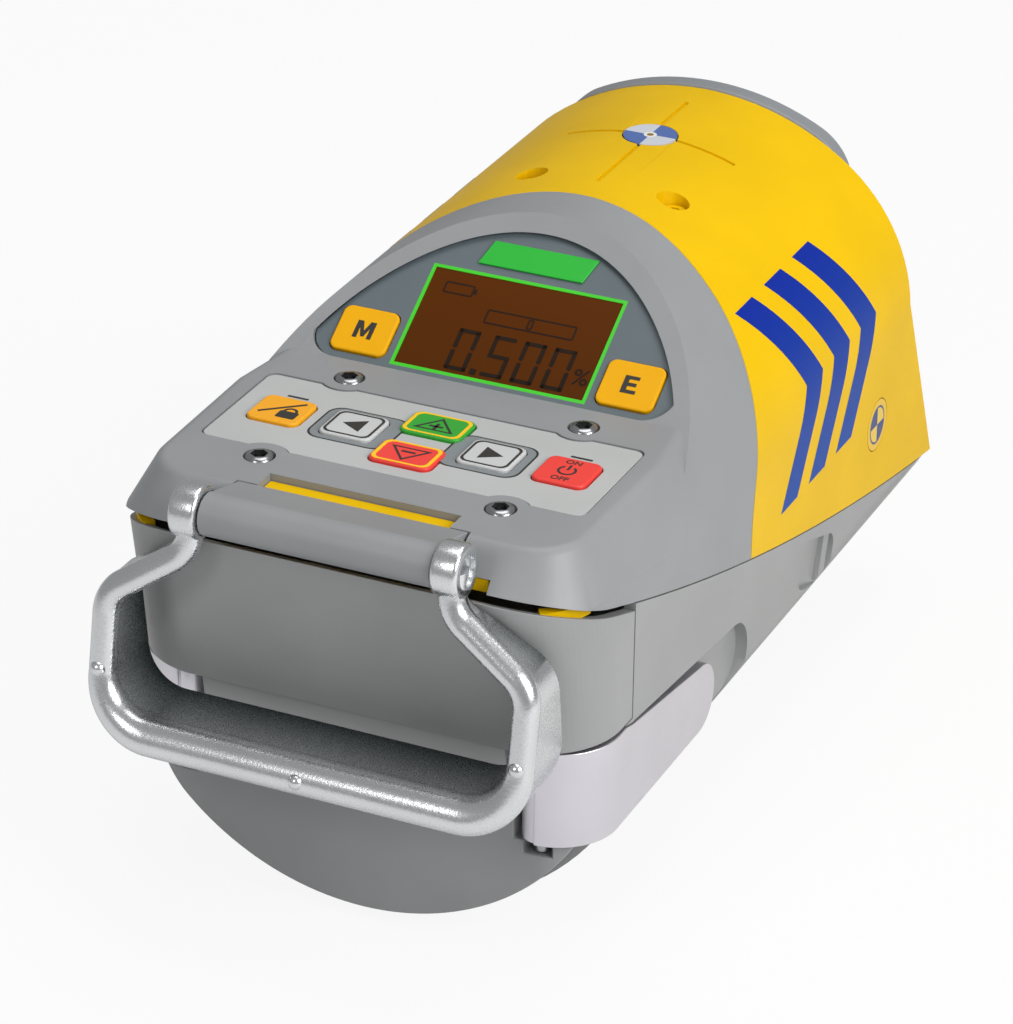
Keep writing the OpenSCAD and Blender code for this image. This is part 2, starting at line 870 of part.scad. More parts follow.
// Openings of the yellow shell for keys, display, beam and screws
module shell_openings() {
  block(0, row_y, board_z + cut, 2 * (plate_hw - 3), screw_y1 - screw_y0 - 2 * boss_r - 3, 20);
  disp_frame()
    translate([-46, 0.5, -20])
      cube([92, win_s + win_h + 2, 40]);
  window_pocket(0);
  along_y(face_y - 20, face_y + cut)
    nose_outline(nose_w);
  both_sides() {
    for (y = [screw_y0, screw_y1])
      rod_z(screw_x, y, board_z - cut, deck_z, shank_r + shank_gap);
    rod_z(crown_x, crown_y, crown_floor, big, crown_r);
    rod_z(crown_x, crown_y, crown_boss_z - cut, big, shank_r + shank_gap);
    rod_x(half_w - mark_t, half_w + cut, side_mark_y, side_mark_z, mark_r + bezel_gap);
  }
  rod_z(0, mark_y, top_z - mark_t, big, mark_r + bezel_gap);
}

// Crossed sighting groove on the crown
module sighting_groove() {
  difference() {
    union() {
      block(0, (groove_y0 + groove_y1) / 2, 120, groove_w, groove_y1 - groove_y0, 40);
      block(0, mark_y, 120, 2 * groove_x, groove_w, 40);
    }
    along_y(100, face_y + cut)
      arch_section(groove_d);
  }
}

// Grey bezel with keypad deck and display face
module control_bezel() {
  color("#9A9C9C")
    placed()
      difference() {
        intersection() {
          union() {
            arch_body(0);
            front_body(0);
          }
          seam_bowl(0);
        }
        arch_body(bezel_t);
        front_body(bezel_t);
        behind_edge(-bezel_gap);
        bezel_recesses();
        bezel_openings();
      }
}

// Shallow recesses of the bezel
module bezel_recesses() {
  panel_shape(inlay_gap, big / 4);
  translate([0, 0, deck_z - plate_depth])
    linear_extrude(height = 10)
      plate_outline(inlay_gap);
  both_sides()
    for (y = [screw_y0, screw_y1])
      rod_z(screw_x, y, deck_z - head_h - 0.3, big, head_r + 0.3);
}

// Openings of the bezel for keys, screws, display and hinge
module bezel_openings() {
  key_holes(key_gap);
  disp_frame()
    translate([win_ledge - win_w / 2, win_s + frame_w + win_ledge, -20])
      cube([win_w - 2 * win_ledge, win_h - 2 * win_ledge, 40]);
  both_sides()
    for (y = [screw_y0, screw_y1])
      rod_z(screw_x, y, 90, big, shank_r + 0.2);
  front_cut(slot_hw, slot_y, deck_z + cut);
  front_cut(hub_x0 + hub_gap, lip_y, deck_z + cut);
  front_cut(notch_hw, notch_y, bar_z + bezel_gap);
}

// Block cut from the front up to y and z
module front_cut(hw, y, z) {
  translate([-hw, y - big / 4, panel_z])
    cube([2 * hw, big / 4, z - panel_z]);
}

// Through holes of all keys, grown by gap
module key_holes(gap) {
  both_sides() {
    disp_frame()
      translate([menu_x, menu_s, -20])
        linear_extrude(height = 40)
          round_rect(key_w + 1.4 + 2 * gap, key_l + 2 * gap, key_r + gap);
    for (x = [lock_x, arrow_x])
      translate([x, row_y, 90])
        linear_extrude(height = 40)
          round_rect(key_w + 2 * gap, key_l + 2 * gap, key_r + gap);
  }
  for (s = [-1, 1])
    translate([0, row_y + s * sign_dy, 90])
      linear_extrude(height = 40)
        round_rect(sign_w + 2 * gap, sign_l + 2 * gap, key_r + gap);
}

// Display

// Outline of the display panel grown by grow, from its underside up to height h
module panel_shape(grow, h) {
  intersection() {
    disp_frame()
      translate([0, inlay_gap - grow + big / 8, -panel_depth])
        linear_extrude(height = h)
          round_rect(2 * (panel_hw + grow), big / 4, panel_corner);
    along_y(40, face_y)
      arch_section(rim_w - grow);
  }
}

// Sloped panel round the display
module display_panel() {
  color("#6E7A7F")
    placed()
      difference() {
        panel_shape(0, panel_t);
        disp_frame()
          translate([-frame_hx, win_s, -20])
            cube([2 * frame_hx, win_h + 2 * frame_w, 40]);
        key_holes(key_gap);
      }
}

// Green line round the display window
module display_frame() {
  color("#3CC81E")
    placed()
      disp_frame()
        translate([0, win_s, -panel_depth])
          difference() {
            translate([-frame_hx, 0, 0])
              cube([2 * frame_hx, win_h + 2 * frame_w, panel_t]);
            translate([-win_w / 2, frame_w, -cut])
              cube([win_w, win_h, panel_t + 2 * cut]);
          }
}

// Display window
module display_window() {
  color("#5A3416")
    placed()
      disp_frame()
        translate([-win_w / 2, win_s + frame_w, -panel_depth])
          cube([win_w, win_h, panel_t - 0.2]);
}

// Display module seated under the bezel
module lcd_module() {
  color("#2E4A34")
    placed()
      disp_frame()
        translate([-frame_hx, win_s, -bezel_t - lcd_depth])
          cube([2 * frame_hx, win_h + 2 * frame_w, lcd_depth]);
}

// Bare badge plate with slanted ends
module badge_plate() {
  color("#18C030")
    placed()
      disp_frame()
        translate([0, badge_s, -panel_drop])
          linear_extrude(height = badge_t)
            polygon([[-badge_w / 2, 0], [badge_w / 2 - 2, 0], [badge_w / 2, badge_h], [2 - badge_w / 2, badge_h]]);
}

// Keypad

// Outline of the keypad plate with notches round the screws
module plate_outline(grow) {
  difference() {
    translate([0, (plate_y0 + plate_y1) / 2])
      round_rect(2 * (plate_hw + grow), plate_y1 - plate_y0 + 2 * grow, plate_r);
    for (s = [-1, 1])
      for (y = [screw_y0, screw_y1])
        translate([s * screw_x, y])
          circle(r = head_r + 3.6 - grow, $fn = 48);
  }
}

// Light keypad plate
module keypad_plate() {
  color("#C6C7C6")
    placed()
      difference() {
        translate([0, 0, deck_z - plate_depth])
          linear_extrude(height = plate_t)
            plate_outline(0);
        key_holes(key_gap);
      }
}

// Key on the deck with its stem
module deck_key(x, y, w, l) {
  placed()
    translate([x, y, deck_z - stem_depth])
      linear_extrude(height = stem_depth + key_top)
        round_rect(w, l, key_r);
}

// Key on the display panel with its stem
module panel_key(x) {
  placed()
    disp_frame()
      translate([x, menu_s, -stem_depth])
        linear_extrude(height = stem_depth + menu_top)
          round_rect(key_w + 1.4, key_l, key_r);
}

module menu_key() {
  color("#FFC400")
    panel_key(-menu_x);
}

module enter_key() {
  color("#FFC400")
    panel_key(menu_x);
}

module lock_key() {
  color("#F7AE12")
    deck_key(-lock_x, row_y, key_w, key_l);
}

module left_key() {
  color("#F4F4F2")
    deck_key(-arrow_x, row_y, key_w, key_l);
}

module right_key() {
  color("#F4F4F2")
    deck_key(arrow_x, row_y, key_w, key_l);
}

module plus_key() {
  color("#2FA52F")
    deck_key(0, row_y + sign_dy, sign_w, sign_l);
}

module minus_key() {
  color("#FF4B42")
    deck_key(0, row_y - sign_dy, sign_w, sign_l);
}

module power_key() {
  color("#FF4B42")
    deck_key(lock_x, row_y, key_w, key_l);
}

// Screws

// Screw with a hex socket, head top at z
module socket_screw(x, y, z, hr, hh, tip) {
  difference() {
    union() {
      rod_z(x, y, z - hh, z, hr);
      rod_z(x, y, tip, z - hh + cut / 2, shank_r);
    }
    translate([x, y, z - hh * 0.6])
      cylinder(d = hex_d, h = hh, $fn = 6);
  }
}

// Four screws that hold the bezel and the main board
module bezel_screws() {
  color("#3A3C3E")
    placed()
      both_sides()
        for (y = [screw_y0, screw_y1])
          socket_screw(screw_x, y, deck_z - 0.3, head_r, head_h, board_z - board_t);
}

// Two crown screws that hold the optics frame
module crown_screws() {
  color("#55585A")
    placed()
      both_sides()
        socket_screw(crown_x, crown_y, crown_floor + 3, crown_head_r, 3, plate_z);
}

// Aiming marks

// Quartered disc on the crown
module target_disc() {
  color("#F4F4F2")
    placed()
      rod_z(0, mark_y, top_z - mark_t, top_z, mark_r);
}

// Quartered discs on the side walls
module side_marks() {
  color("#F4F4F2")
    placed()
      both_sides()
        rod_x(half_w - mark_t, half_w, side_mark_y, side_mark_z, mark_r);
}

// Nose

// Outline of the nose frame, shrunk by inset
module nose_outline(inset) {
  intersection() {
    arch_outline(nose_hw + cut, nose_x, nose_z, nose_r, dome_r + nose_rise, inset);
    translate([0, nose_z0 + big / 4])
      round_rect(2 * (nose_hw - inset), big / 2 - 2 * inset, nose_r - inset);
  }
}

// Frame round the beam window
module nose_ring() {
  color("#8C8E90")
    placed()
      difference() {
        along_y(face_y, face_y + nose_h)
          nose_outline(0);
        along_y(face_y - cut, face_y + glass_t + seal_t)
          nose_outline(glass_in - glass_gap);
        along_y(face_y - cut, face_y + nose_h + cut)
          nose_outline(nose_w);
      }
}

// Beam window
module window_glass() {
  color("#BFD8DC")
    placed()
      along_y(face_y, face_y + glass_t)
        nose_outline(glass_in);
}

// Seal between window and frame
module window_seal() {
  color("#222426")
    placed()
      difference() {
        along_y(face_y + glass_t, face_y + glass_t + seal_t)
          nose_outline(glass_in);
        along_y(face_y, face_y + nose_h)
          nose_outline(nose_w);
      }
}

// Lower housing and front

// Section of the lower shell with the round belly
module belly_section(inset) {
  intersection() {
    translate([inset - half_w, 0])
      square([body_w - 2 * inset, 110]);
    union() {
      translate([0, belly_z])
        circle(r = belly_r - inset);
      translate([-belly_r, belly_z])
        square([2 * belly_r, 60]);
    }
  }
}

// Plan of drawer cap and latches with round corners, cut at y
module cap_plan(inset, y) {
  intersection() {
    translate([0, inset + big / 4])
      round_rect(body_w - 2 * inset, big / 2, cap_corner - inset);
    translate([-big / 2, -big / 2])
      square([big, big / 2 + y]);
  }
}

// Grey lower shell with the battery bay
module lower_housing() {
  color("#9B9B99")
    placed()
      difference() {
        along_y(cap_d + panel_gap, keel_y + cut)
          belly_section(0);
        seam_bowl(seam_gap);
        keel_cut(0);
        beyond_face(0);
        upper_room();
        rear_room();
        battery_bay();
        side_channels();
        front_step();
        latch_pockets();
        catch_pockets();
        leg_sockets();
      }
}

// Space behind the sloped keel, moved forward by inset
module keel_cut(inset) {
  translate([0, keel_y, keel_z])
    rotate([-keel_slope, 0, 0])
      translate([-big / 2, -inset, -big / 2])
        cube([big, big, big]);
}

// Room above the battery bay
module upper_room() {
  difference() {
    along_y(0, keel_y + cut)
      belly_section(wall);
    translate([-big / 2, -big / 2, -big + bay_z + wall])
      cube([big, big, big]);
    keel_cut(wall);
    beyond_face(wall);
    for (s = [-1, 1])
      block(s * half_w, 0, 0, 2 * (pocket_in + wall), 2 * (latch_end + finger_l + wall), latch_z1 + wall);
  }
}

// Room behind the battery bay
module rear_room() {
  difference() {
    along_y(bay_y + wall, keel_y + cut)
      belly_section(wall);
    keel_cut(wall);
    beyond_face(wall);
    for (s = [-1, 1])
      rod_z(s * foot_x, foot_y1, 0, socket_d + wall, foot_r);
  }
}

// Bay for the battery tray
module battery_bay() {
  intersection() {
    along_y(0, bay_y)
      belly_section(wall);
    block(0, 0, 0, 2 * (tray_hw + tray_gap), 3 * bay_y, bay_z);
  }
}

// Hollow sides beside the battery bay
module side_channels() {
  intersection() {
    along_y(cap_d + 8, bay_y - wall)
      belly_section(wall + pocket_in);
    both_sides()
      block((tray_hw + half_w) / 2 - 1, 80, 22, half_w - tray_hw - 14 + wall, 200, bay_z - 22);
  }
}

// Step for the front panel
module front_step() {
  block(0, 0, panel_z - panel_gap, 2 * half_w + 20, 2 * (panel_y + panel_gap), 80);
}

// Side pockets for the latches with finger recesses
module latch_pockets() {
  difference() {
    along_x(-half_w - 10, half_w + 10)
      latch_profile(finger_l, latch_gap);
    translate([0, latch_front, 0])
      linear_extrude(height = 80)
        cap_plan(pocket_in, keel_y);
  }
}

// Side view of a latch, lengthened by extra and grown by gap
module latch_profile(extra, gap) {
  end = latch_end + extra;
  mid = (latch_z0 + latch_z2) / 2;
  r = (latch_z2 - latch_z0) / 2 + gap;
  polygon([[-5, latch_z0 - gap], [end - r, latch_z0 - gap], [end - r, latch_z2 + gap],
    [panel_y, latch_z1 + gap - 1], [panel_y - 4, latch_z1 + gap], [-5, latch_z1 + gap]]);
  translate([end - r, mid])
    circle(r = r);
}

// Rear catch recesses with a small tab left standing
module catch_pockets() {
  both_sides()
    difference() {
      along_x(half_w - catch_d, half_w + 10)
        translate([catch_y, catch_z])
          rotate(-18)
            round_rect(catch_l, catch_h, 4);
      along_x(half_w - catch_d - cut, half_w - 0.2)
        translate([catch_y + catch_l / 4, catch_z - 1])
          rotate(-18)
            square([4, catch_h], center = true);
    }
}

// Blind leg sockets through pads and belly
module leg_sockets() {
  both_sides()
    for (y = [foot_y0, foot_y1])
      rod_z(foot_x, y, -cut, socket_d, socket_r);
}

// Rubber pads with a socket for a screw-in leg
module foot_pads() {
  color("#2B2C2D")
    placed()
      difference() {
        both_sides()
          for (y = [foot_y0, foot_y1])
            rod_z(foot_x, y, 0, socket_d + 3, foot_r);
        rod_y(0, 0, 250, belly_z, belly_r);
        leg_sockets();
      }
}

// Body of the leaning front, shrunk by inset
module front_prism(inset) {
  translate([0, front_y, seam_z])
    rotate([front_lean, 0, 0])
      translate([0, inset + big / 4, -big / 4])
        linear_extrude(height = big / 2)
          round_rect(body_w - 2 * inset, big / 2, front_r - inset);
}

// Slab ahead of y and above z
module front_slab(hw, y, z) {
  translate([-hw, y - big / 4, z])
    cube([2 * hw, big / 4, seam_z]);
}

// Wrap-round front panel under the bezel with the apron between the latches
module front_panel() {
  color("#7E807F")
    placed()
      difference() {
        union() {
          intersection() {
            front_prism(0);
            front_slab(big / 4, panel_y, panel_z);
          }
          intersection() {
            front_prism(apron_in);
            front_slab(apron_hw, cap_d, drawer_z + drawer_gap);
          }
        }
        intersection() {
          front_prism(wall);
          front_slab(big / 4, panel_y + cut, panel_z + floor_t);
        }
        seam_bowl(front_gap);
        both_sides()
          rod_z(latch_x, latch_y, panel_z - cut, panel_z + floor_t + cut, latch_pin_r + run_gap);
      }
}

// Handle

// Hinge bar between the hubs
module hinge_bar() {
  rear = lip_y - hub_gap;
  hx = hub_x0 - hub_gap;
  color("#8E9092")
    placed()
      difference() {
        union() {
          rod_x(-hx, hx, hinge_y, hinge_z, bar_r);
          along_x(-hx, hx)
            polygon([[hinge_y, hinge_z + bar_r], [rear, deck_z], [rear, bar_z],
              [hinge_y + bar_r, bar_z], [hinge_y, hinge_z - bar_r]]);
        }
        rod_x(-hub_x1, hub_x1, hinge_y, hinge_z, pin_r + run_gap);
      }
}

// Hinge pin through hubs and bar
module hinge_pin() {
  color("#B9BBBD")
    placed()
      rod_x(hub_recess - hub_x1, hub_x1 - hub_recess, hinge_y, hinge_z, pin_r);
}

// Points on an arc in the plane of the handle with their outward normals
function bend_points(x, s, r, a0, a1, side) =
  [for (i = [0 : 6]) let (a = a0 + (a1 - a0) * i / 6)
    [x - side * r * cos(a), s + side * r * sin(a), cos(a), -sin(a)]];

// Right half of the strap: sideways place, drop below the hinge, outward normal
half_path = concat([[neck_x, 0, 1, 0]],
  bend_points(neck_x + bend_r, neck_drop, bend_r, 0, neck_turn, 1),
  bend_points(leg_x - bend_r, leg_drop, bend_r, neck_turn, 0, -1),
  bend_points(leg_x - grip_r, corner_drop, grip_r, 0, -90, -1));

// Whole strap from the right hub to the left hub
strap_path = concat(half_path, [for (i = [len(half_path) - 1 : -1 : 0])
  [-half_path[i][0], half_path[i][1], -half_path[i][2], half_path[i][3]]]);

// Half thickness and depth of the strap at a drop below the hinge
function strap_half(s) = lookup(s, [[corner_drop, strap_t / 2], [grip_drop, grip_t / 2]]);
function strap_back(s) = lookup(s, [[neck_drop + 3, neck_depth], [leg_drop, leg_depth], [corner_drop, grip_depth]]);

// Point of the hanging handle at sideways place x, drop s and depth b
function hung(x, s, b) = [x, hinge_y - s * sin(hang) + b, hinge_z - s * cos(hang)];

// Section of the strap at one point of its path
function strap_ring(q) =
  let (t = strap_half(q[1]), d = strap_back(q[1]), e = t - rear_r)
  concat(
    [for (i = [0 : bead_n]) let (a = 180 * i / bead_n, c = t * cos(a))
      hung(q[0] + c * q[2], q[1] + c * q[3], -t * sin(a))],
    [for (g = [[-t, d - rear_r], [-e, d], [e, d], [t, d - rear_r]])
      hung(q[0] + g[0] * q[2], q[1] + g[0] * q[3], g[1])]);

// Strap of the handle with a round front edge and a flat back
module strap() {
  last = (len(strap_path) - 1) * ring_n;
  polyhedron(
    points = [for (q = strap_path) for (v = strap_ring(q)) v],
    faces = concat(
      [[for (j = [0 : ring_n - 1]) j]],
      [[for (j = [ring_n - 1 : -1 : 0]) last + j]],
      [for (i = [0 : ring_n : last - 1]) for (j = [0 : ring_n - 1]) let (k = (j + 1) % ring_n)
        each [[i + k, i + j, i + ring_n + j], [i + k, i + ring_n + j, i + ring_n + k]]]));
}

// Carry handle hanging at the front
module carry_handle() {
  color("#B4B6BC")
    placed()
      difference() {
        union() {
          strap();
          both_sides() {
            rod_x(hub_x0, hub_x1, hinge_y, hinge_z, hub_r);
            translate(hung(leg_x, pip_drop, pip_in - strap_t / 2))
              sphere(r = pip_r, $fn = 24);
          }
          translate(hung(0, grip_drop, pip_in - grip_t / 2))
            sphere(r = pip_r, $fn = 24);
        }
        rod_x(-big / 4, big / 4, hinge_y, hinge_z, pin_r + run_gap);
        both_sides()
          rod_x(hub_x1 - hub_recess, hub_x1 + cut, hinge_y, hinge_z, hub_recess_r);
      }
}

// Battery drawer

// Drawer cap with the drawer face between the latches
module battery_cap() {
  color("#767677")
    placed()
      difference() {
        union() {
          intersection() {
            along_y(0, cap_d)
              translate([0, belly_z])
                circle(r = cap_r);
            linear_extrude(height = cap_z)
              cap_plan(0, cap_d);
          }
          block(0, cap_d / 2, cap_z - cut, 2 * strip_hw, cap_d, drawer_z - cap_z + cut);
        }
        both_sides()
          block(latch_x, cap_d / 2, cap_z - pin_foot - 0.5, foot_groove, cap_d + 2 * cut, pin_foot + cut);
      }
}

// Section of the tray, shrunk by inset
module tray_section(inset) {
  intersection() {
    translate([0, belly_z])
      circle(r = tray_r - inset);
    translate([inset - tray_hw, 0])
      square([2 * (tray_hw - inset), tray_z - inset]);
  }
}

// Battery tray with four troughs
module battery_tray() {
  color("#4A4C4E")
    placed()
      difference() {
        along_y(cap_d, cap_d + tray_l)
          tray_section(0);
        both_sides() {
          rod_y(cell_x, cell_y - contact_t, cell_y - contact_t + trough_l, cell_z, cell_r + cell_gap);
          block(cell_x, cell_y - contact_t + trough_l / 2, cell_z, 2 * (cell_r + cell_gap), trough_l, 60);
        }
        difference() {
          along_y(cap_d + 1, cap_d + 1 + seal_w)
            tray_section(-cut);
          along_y(cap_d, cap_d + 5)
            tray_section(seal_d);
        }
      }
}

// Drawer seal in its groove round the tray
module battery_seal() {
  color("#1E2022")
    placed()
      difference() {
        along_y(cap_d + 1, cap_d + 1 + seal_w)
          tray_section(-tray_gap / 2);
        along_y(cap_d, cap_d + 5)
          tray_section(seal_d);
      }
}

// Four cells in two rows
module battery_cells() {
  color("#8A6A2A")
    placed()
      both_sides()
        for (y = [cell_y, cell_y + cell_l + cell_slack]) {
          rod_y(cell_x, y, y + cell_l - 1.5, cell_z, cell_r);
          rod_y(cell_x, y + cell_l - 2, y + cell_l, cell_z, cell_r * 0.3);
        }
}

// Contact plates at both ends of the rows
module battery_contacts() {
  color("#C9A24A")
    placed()
      both_sides()
        for (y = [cell_y - contact_t, cell_y + 2 * cell_l + cell_slack])
          rod_y(cell_x, y, y + contact_t, cell_z, contact_r);
}

// Latches

// Right latch: barrel, front plate and side plate
module latch_body() {
  difference() {
    union() {
      intersection() {
        translate([0, latch_front, 0])
          linear_extrude(height = 80)
            difference() {
              cap_plan(-latch_rise, keel_y);
              cap_plan(latch_t - latch_rise, keel_y + cut);
              translate([-big, -big / 2])
                square([big + latch_x, big]);
            }
        along_x(0, half_w + 10)
          latch_profile(0, 0);
      }
      rod_z(latch_x, latch_y, latch_z0, latch_z1, barrel_r);
    }
    rod_z(latch_x, latch_y, 0, big / 4, latch_pin_r + run_gap);
  }
}

module right_latch() {
  color("#C8C6CC")
    placed()
      latch_body();
}

module left_latch() {
  color("#C8C6CC")
    placed()
      mirror([1, 0, 0])
        latch_body();
}

// Upright pins of the latches
module latch_pins() {
  color("#B9BBBD")
    placed()
      both_sides()
        rod_z(latch_x, latch_y, cap_z - pin_foot, panel_z + floor_t, latch_pin_r);
}

// Optics inside the housing

// Frame plate under the crown with its posts
module optics_frame() {
  color("#9DA0A3")
    placed()
      difference() {
        union() {
          block(0, (frame_y0 + frame_y1) / 2, plate_z, 2 * frame_hw, frame_y1 - frame_y0, frame_t);
          both_sides()
            rod_z(crown_x, crown_y, plate_z + cut, crown_boss_z, boss_r);
          rod_z(0, post_y, plate_z + cut, crown_boss_z, boss_r);
        }
        both_sides()
          rod_z(crown_x, crown_y, plate_z - cut, big / 2, shank_r + shank_gap);
        rod_z(0, swing_y, plate_z - cut, big / 2, shaft_r + run_gap);
      }
}

// Motor that swings the laser left and right
module line_motor() {
  color("#606468")
    placed()
      difference() {
        rod_z(0, swing_y, frame_z, frame_z + line_l, motor_r);
        rod_z(0, swing_y, frame_z - cut, frame_z + shaft_in + 1, shaft_r + run_gap);
      }
}

// Yoke that hangs from the line motor shaft
module gimbal_yoke() {
  color("#8E9498")
    placed()
      difference() {
        union() {
          block(0, swing_y, bridge_z, 2 * yoke_hw, 2 * yoke_hl, 5);
          both_sides()
            block(yoke_hw - yoke_t / 2, swing_y, grade_z - 8, yoke_t, 2 * yoke_hl, bridge_z - grade_z + 9);
          rod_z(0, swing_y, bridge_z + 4, frame_z + shaft_in, shaft_r);
          rod_z(0, swing_y, bridge_z + 4, plate_z - 0.4, shaft_r + 3);
        }
        rod_x(-half_w, half_w, swing_y, grade_z, shaft_r + run_gap);
      }
}

// Motor that tilts the laser for the grade
module grade_motor() {
  color("#606468")
    placed()
      difference() {
        rod_x(yoke_hw, yoke_hw + grade_l, swing_y, grade_z, motor_r);
        rod_x(yoke_hw - cut, yoke_hw + shaft_in + 1, swing_y, grade_z, shaft_r + run_gap);
      }
}

// Laser tube with its two trunnions
module laser_tube() {
  color("#3C4044")
    placed()
      difference() {
        union() {
          rod_y(0, swing_y - tube_hl, swing_y + tube_hl, grade_z, tube_r);
          rod_x(-yoke_hw + 0.5, yoke_hw + shaft_in, swing_y, grade_z, shaft_r);
          both_sides()
            rod_x(tube_r - 3, yoke_hw - yoke_t - 0.4, swing_y, grade_z, shaft_r + 3);
        }
        rod_y(0, swing_y + tube_hl - lens_t - 1, swing_y + tube_hl + cut, grade_z, lens_r);
        rod_y(0, swing_y + 10, swing_y + tube_hl, grade_z, lens_r - 2);
      }
}

// Collimating lens
module laser_lens() {
  color("#9FC3CC")
    placed()
      rod_y(0, swing_y + tube_hl - lens_t - 1, swing_y + tube_hl - 1, grade_z, lens_r);
}

// Round driver board at the tail of the tube
module laser_board() {
  color("#1E5A34")
    placed()
      rod_y(0, swing_y - tube_hl - board_t, swing_y - tube_hl, grade_z, tube_r - 1);
}

// Main circuit board under the keypad
module main_board() {
  color("#1E5A34")
    placed()
      difference() {
        block(0, (board_y0 + board_y1) / 2, board_z - board_t, 2 * board_hw, board_y1 - board_y0, board_t);
        both_sides()
          for (y = [screw_y0, screw_y1])
            rod_z(screw_x, y, board_z - 2 * board_t, board_z + cut, shank_r + shank_gap);
      }
}

upper_housing();
control_bezel();
display_panel();
display_frame();
display_window();
lcd_module();
badge_plate();
keypad_plate();
menu_key();
enter_key();
lock_key();
left_key();
right_key();
plus_key();
minus_key();
power_key();
bezel_screws();
target_disc();
side_marks();
crown_screws();
nose_ring();
window_glass();
window_seal();
lower_housing();
front_panel();
hinge_bar();
hinge_pin();
carry_handle();
battery_cap();
battery_tray();
battery_cells();
battery_contacts();
battery_seal();
left_latch();
right_latch();
latch_pins();
foot_pads();
optics_frame();
line_motor();
gimbal_yoke();
grade_motor();
laser_tube();
laser_lens();
laser_board();
main_board();
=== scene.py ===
"""Looks of a pipe laser: softened shells, a cast handle, keys with legends, prints and finishes."""
import json

import bmesh
import bpy
import numpy as np
from mathutils import Matrix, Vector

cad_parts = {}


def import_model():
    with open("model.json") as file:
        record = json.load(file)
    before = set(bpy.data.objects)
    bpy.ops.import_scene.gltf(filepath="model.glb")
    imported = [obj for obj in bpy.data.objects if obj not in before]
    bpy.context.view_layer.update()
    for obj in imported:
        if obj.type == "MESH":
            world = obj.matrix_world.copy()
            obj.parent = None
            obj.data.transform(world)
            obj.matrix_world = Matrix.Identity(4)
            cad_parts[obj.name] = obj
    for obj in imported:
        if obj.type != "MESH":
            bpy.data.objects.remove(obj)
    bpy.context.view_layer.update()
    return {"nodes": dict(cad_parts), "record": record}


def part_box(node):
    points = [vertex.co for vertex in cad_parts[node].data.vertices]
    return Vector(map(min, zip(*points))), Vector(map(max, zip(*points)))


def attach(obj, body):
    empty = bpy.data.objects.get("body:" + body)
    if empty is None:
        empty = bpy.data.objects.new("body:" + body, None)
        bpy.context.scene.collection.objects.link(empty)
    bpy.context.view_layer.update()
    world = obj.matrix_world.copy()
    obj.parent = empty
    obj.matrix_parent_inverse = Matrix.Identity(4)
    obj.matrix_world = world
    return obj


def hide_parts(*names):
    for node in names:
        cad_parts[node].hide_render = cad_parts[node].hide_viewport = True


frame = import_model()

bl_info = {
    "name": "Pipe laser looks",
    "version": (1, 0, 0),
    "blender": (4, 5, 0),
    "location": "View3D > Sidebar > Pipe laser",
    "description": "Softened shells, cast handle, keys, prints and finishes of a pipe laser",
    "category": "Object",
}

MM = 0.001
# Front of the battery drawer in the frame; every y below is measured from it, in millimetres.
FRONT = float(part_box("battery_cap")[0][1])
# Height of the keypad deck, and foot and slope of the display face.
DECK_Z = 112.3
DISP_Y = 67.6
DISP_TILT = np.radians(32.7)
# Hinge line of the handle and the angle at which the handle hangs.
HINGE_Y = -17.5
HINGE_Z = 111.0
HANG = np.radians(10.4)
# Middles and radii of the arch: a shoulder on each side and the dome of the crown.
SHOULDER_X = 12.0
SHOULDER_Z = 87.5
SHOULDER_R = 49.0
DOME_Z = 71.5
DOME_R = 69.0
# Heights of keypad plate and keys over the deck, and of window and keys over the display face.
PLATE_H = -0.2
KEY_H = 0.6
WINDOW_H = -1.4
PANEL_KEY_H = -0.4
# Places of the keys: the row on the deck, keys to each side of it, and the pair on the display face.
ROW_Y = 34.8
LOCK_X = 37.2
ARROW_X = 17.9
SIGN_DY = 8.3
MENU_X = 35.5
MENU_S = 9.3
# Places of the screws in the bezel and on the crown.
BEZEL_SCREW_X = 31.0
BEZEL_SCREW_YS = (11.5, 58.4)
CROWN_SCREW_X = 19.4
CROWN_SCREW_Y = 136.6
# Carry handle: places of neck, leg and grip, half thickness of leg and grip, radius between both.
NECK_X = 33.0
LEG_X = 53.5
GRIP_DROP = 57.0
LEG_T = 3.3
GRIP_T = 4.6
CORNER_R = 14.0
CORNER_DROP = GRIP_DROP - CORNER_R
# Outlines of two bold letters in a unit square.
LETTER_M = (
    (0, 0), (0, 1), (0.3, 1), (0.5, 0.44), (0.7, 1), (1, 1), (1, 0), (0.77, 0), (0.77, 0.62),
    (0.58, 0.1), (0.42, 0.1), (0.23, 0.62), (0.23, 0))
LETTER_E = (
    (0.1, 0), (0.1, 1), (0.86, 1), (0.86, 0.8), (0.36, 0.8), (0.36, 0.61), (0.8, 0.61), (0.8, 0.41),
    (0.36, 0.41), (0.36, 0.2), (0.88, 0.2), (0.88, 0))
# Bars of a seven-bar figure: a, g and d lie level from the top down, f and b, then e and c, stand upright.
BARS_OF = {"0": "abcdef", "5": "afgcd"}
# Share of the shell edge by which each solid is rounded, and the solids that follow the arch.
EDGE_SHARES = {
    "upper_housing": 0.6, "control_bezel": 0.6, "front_panel": 1.2, "lower_housing": 0.8,
    "battery_cap": 1.4, "left_latch": 1.0, "right_latch": 1.0, "nose_ring": 1.6,
    "hinge_bar": 1.0, "badge_plate": 0.3, "display_panel": 0.3, "keypad_plate": 0.3,
}
ARCHED = ("upper_housing", "control_bezel")
BODY_OF = {n: b for b, nodes in frame["record"]["behaviour"]["bodies"].items() for n in nodes}
SLOT_OF = {part["node"]: part["material_slot"] for part in frame["record"]["subparts"]}
KEYS = [node for node in SLOT_OF if node.endswith("_key")]
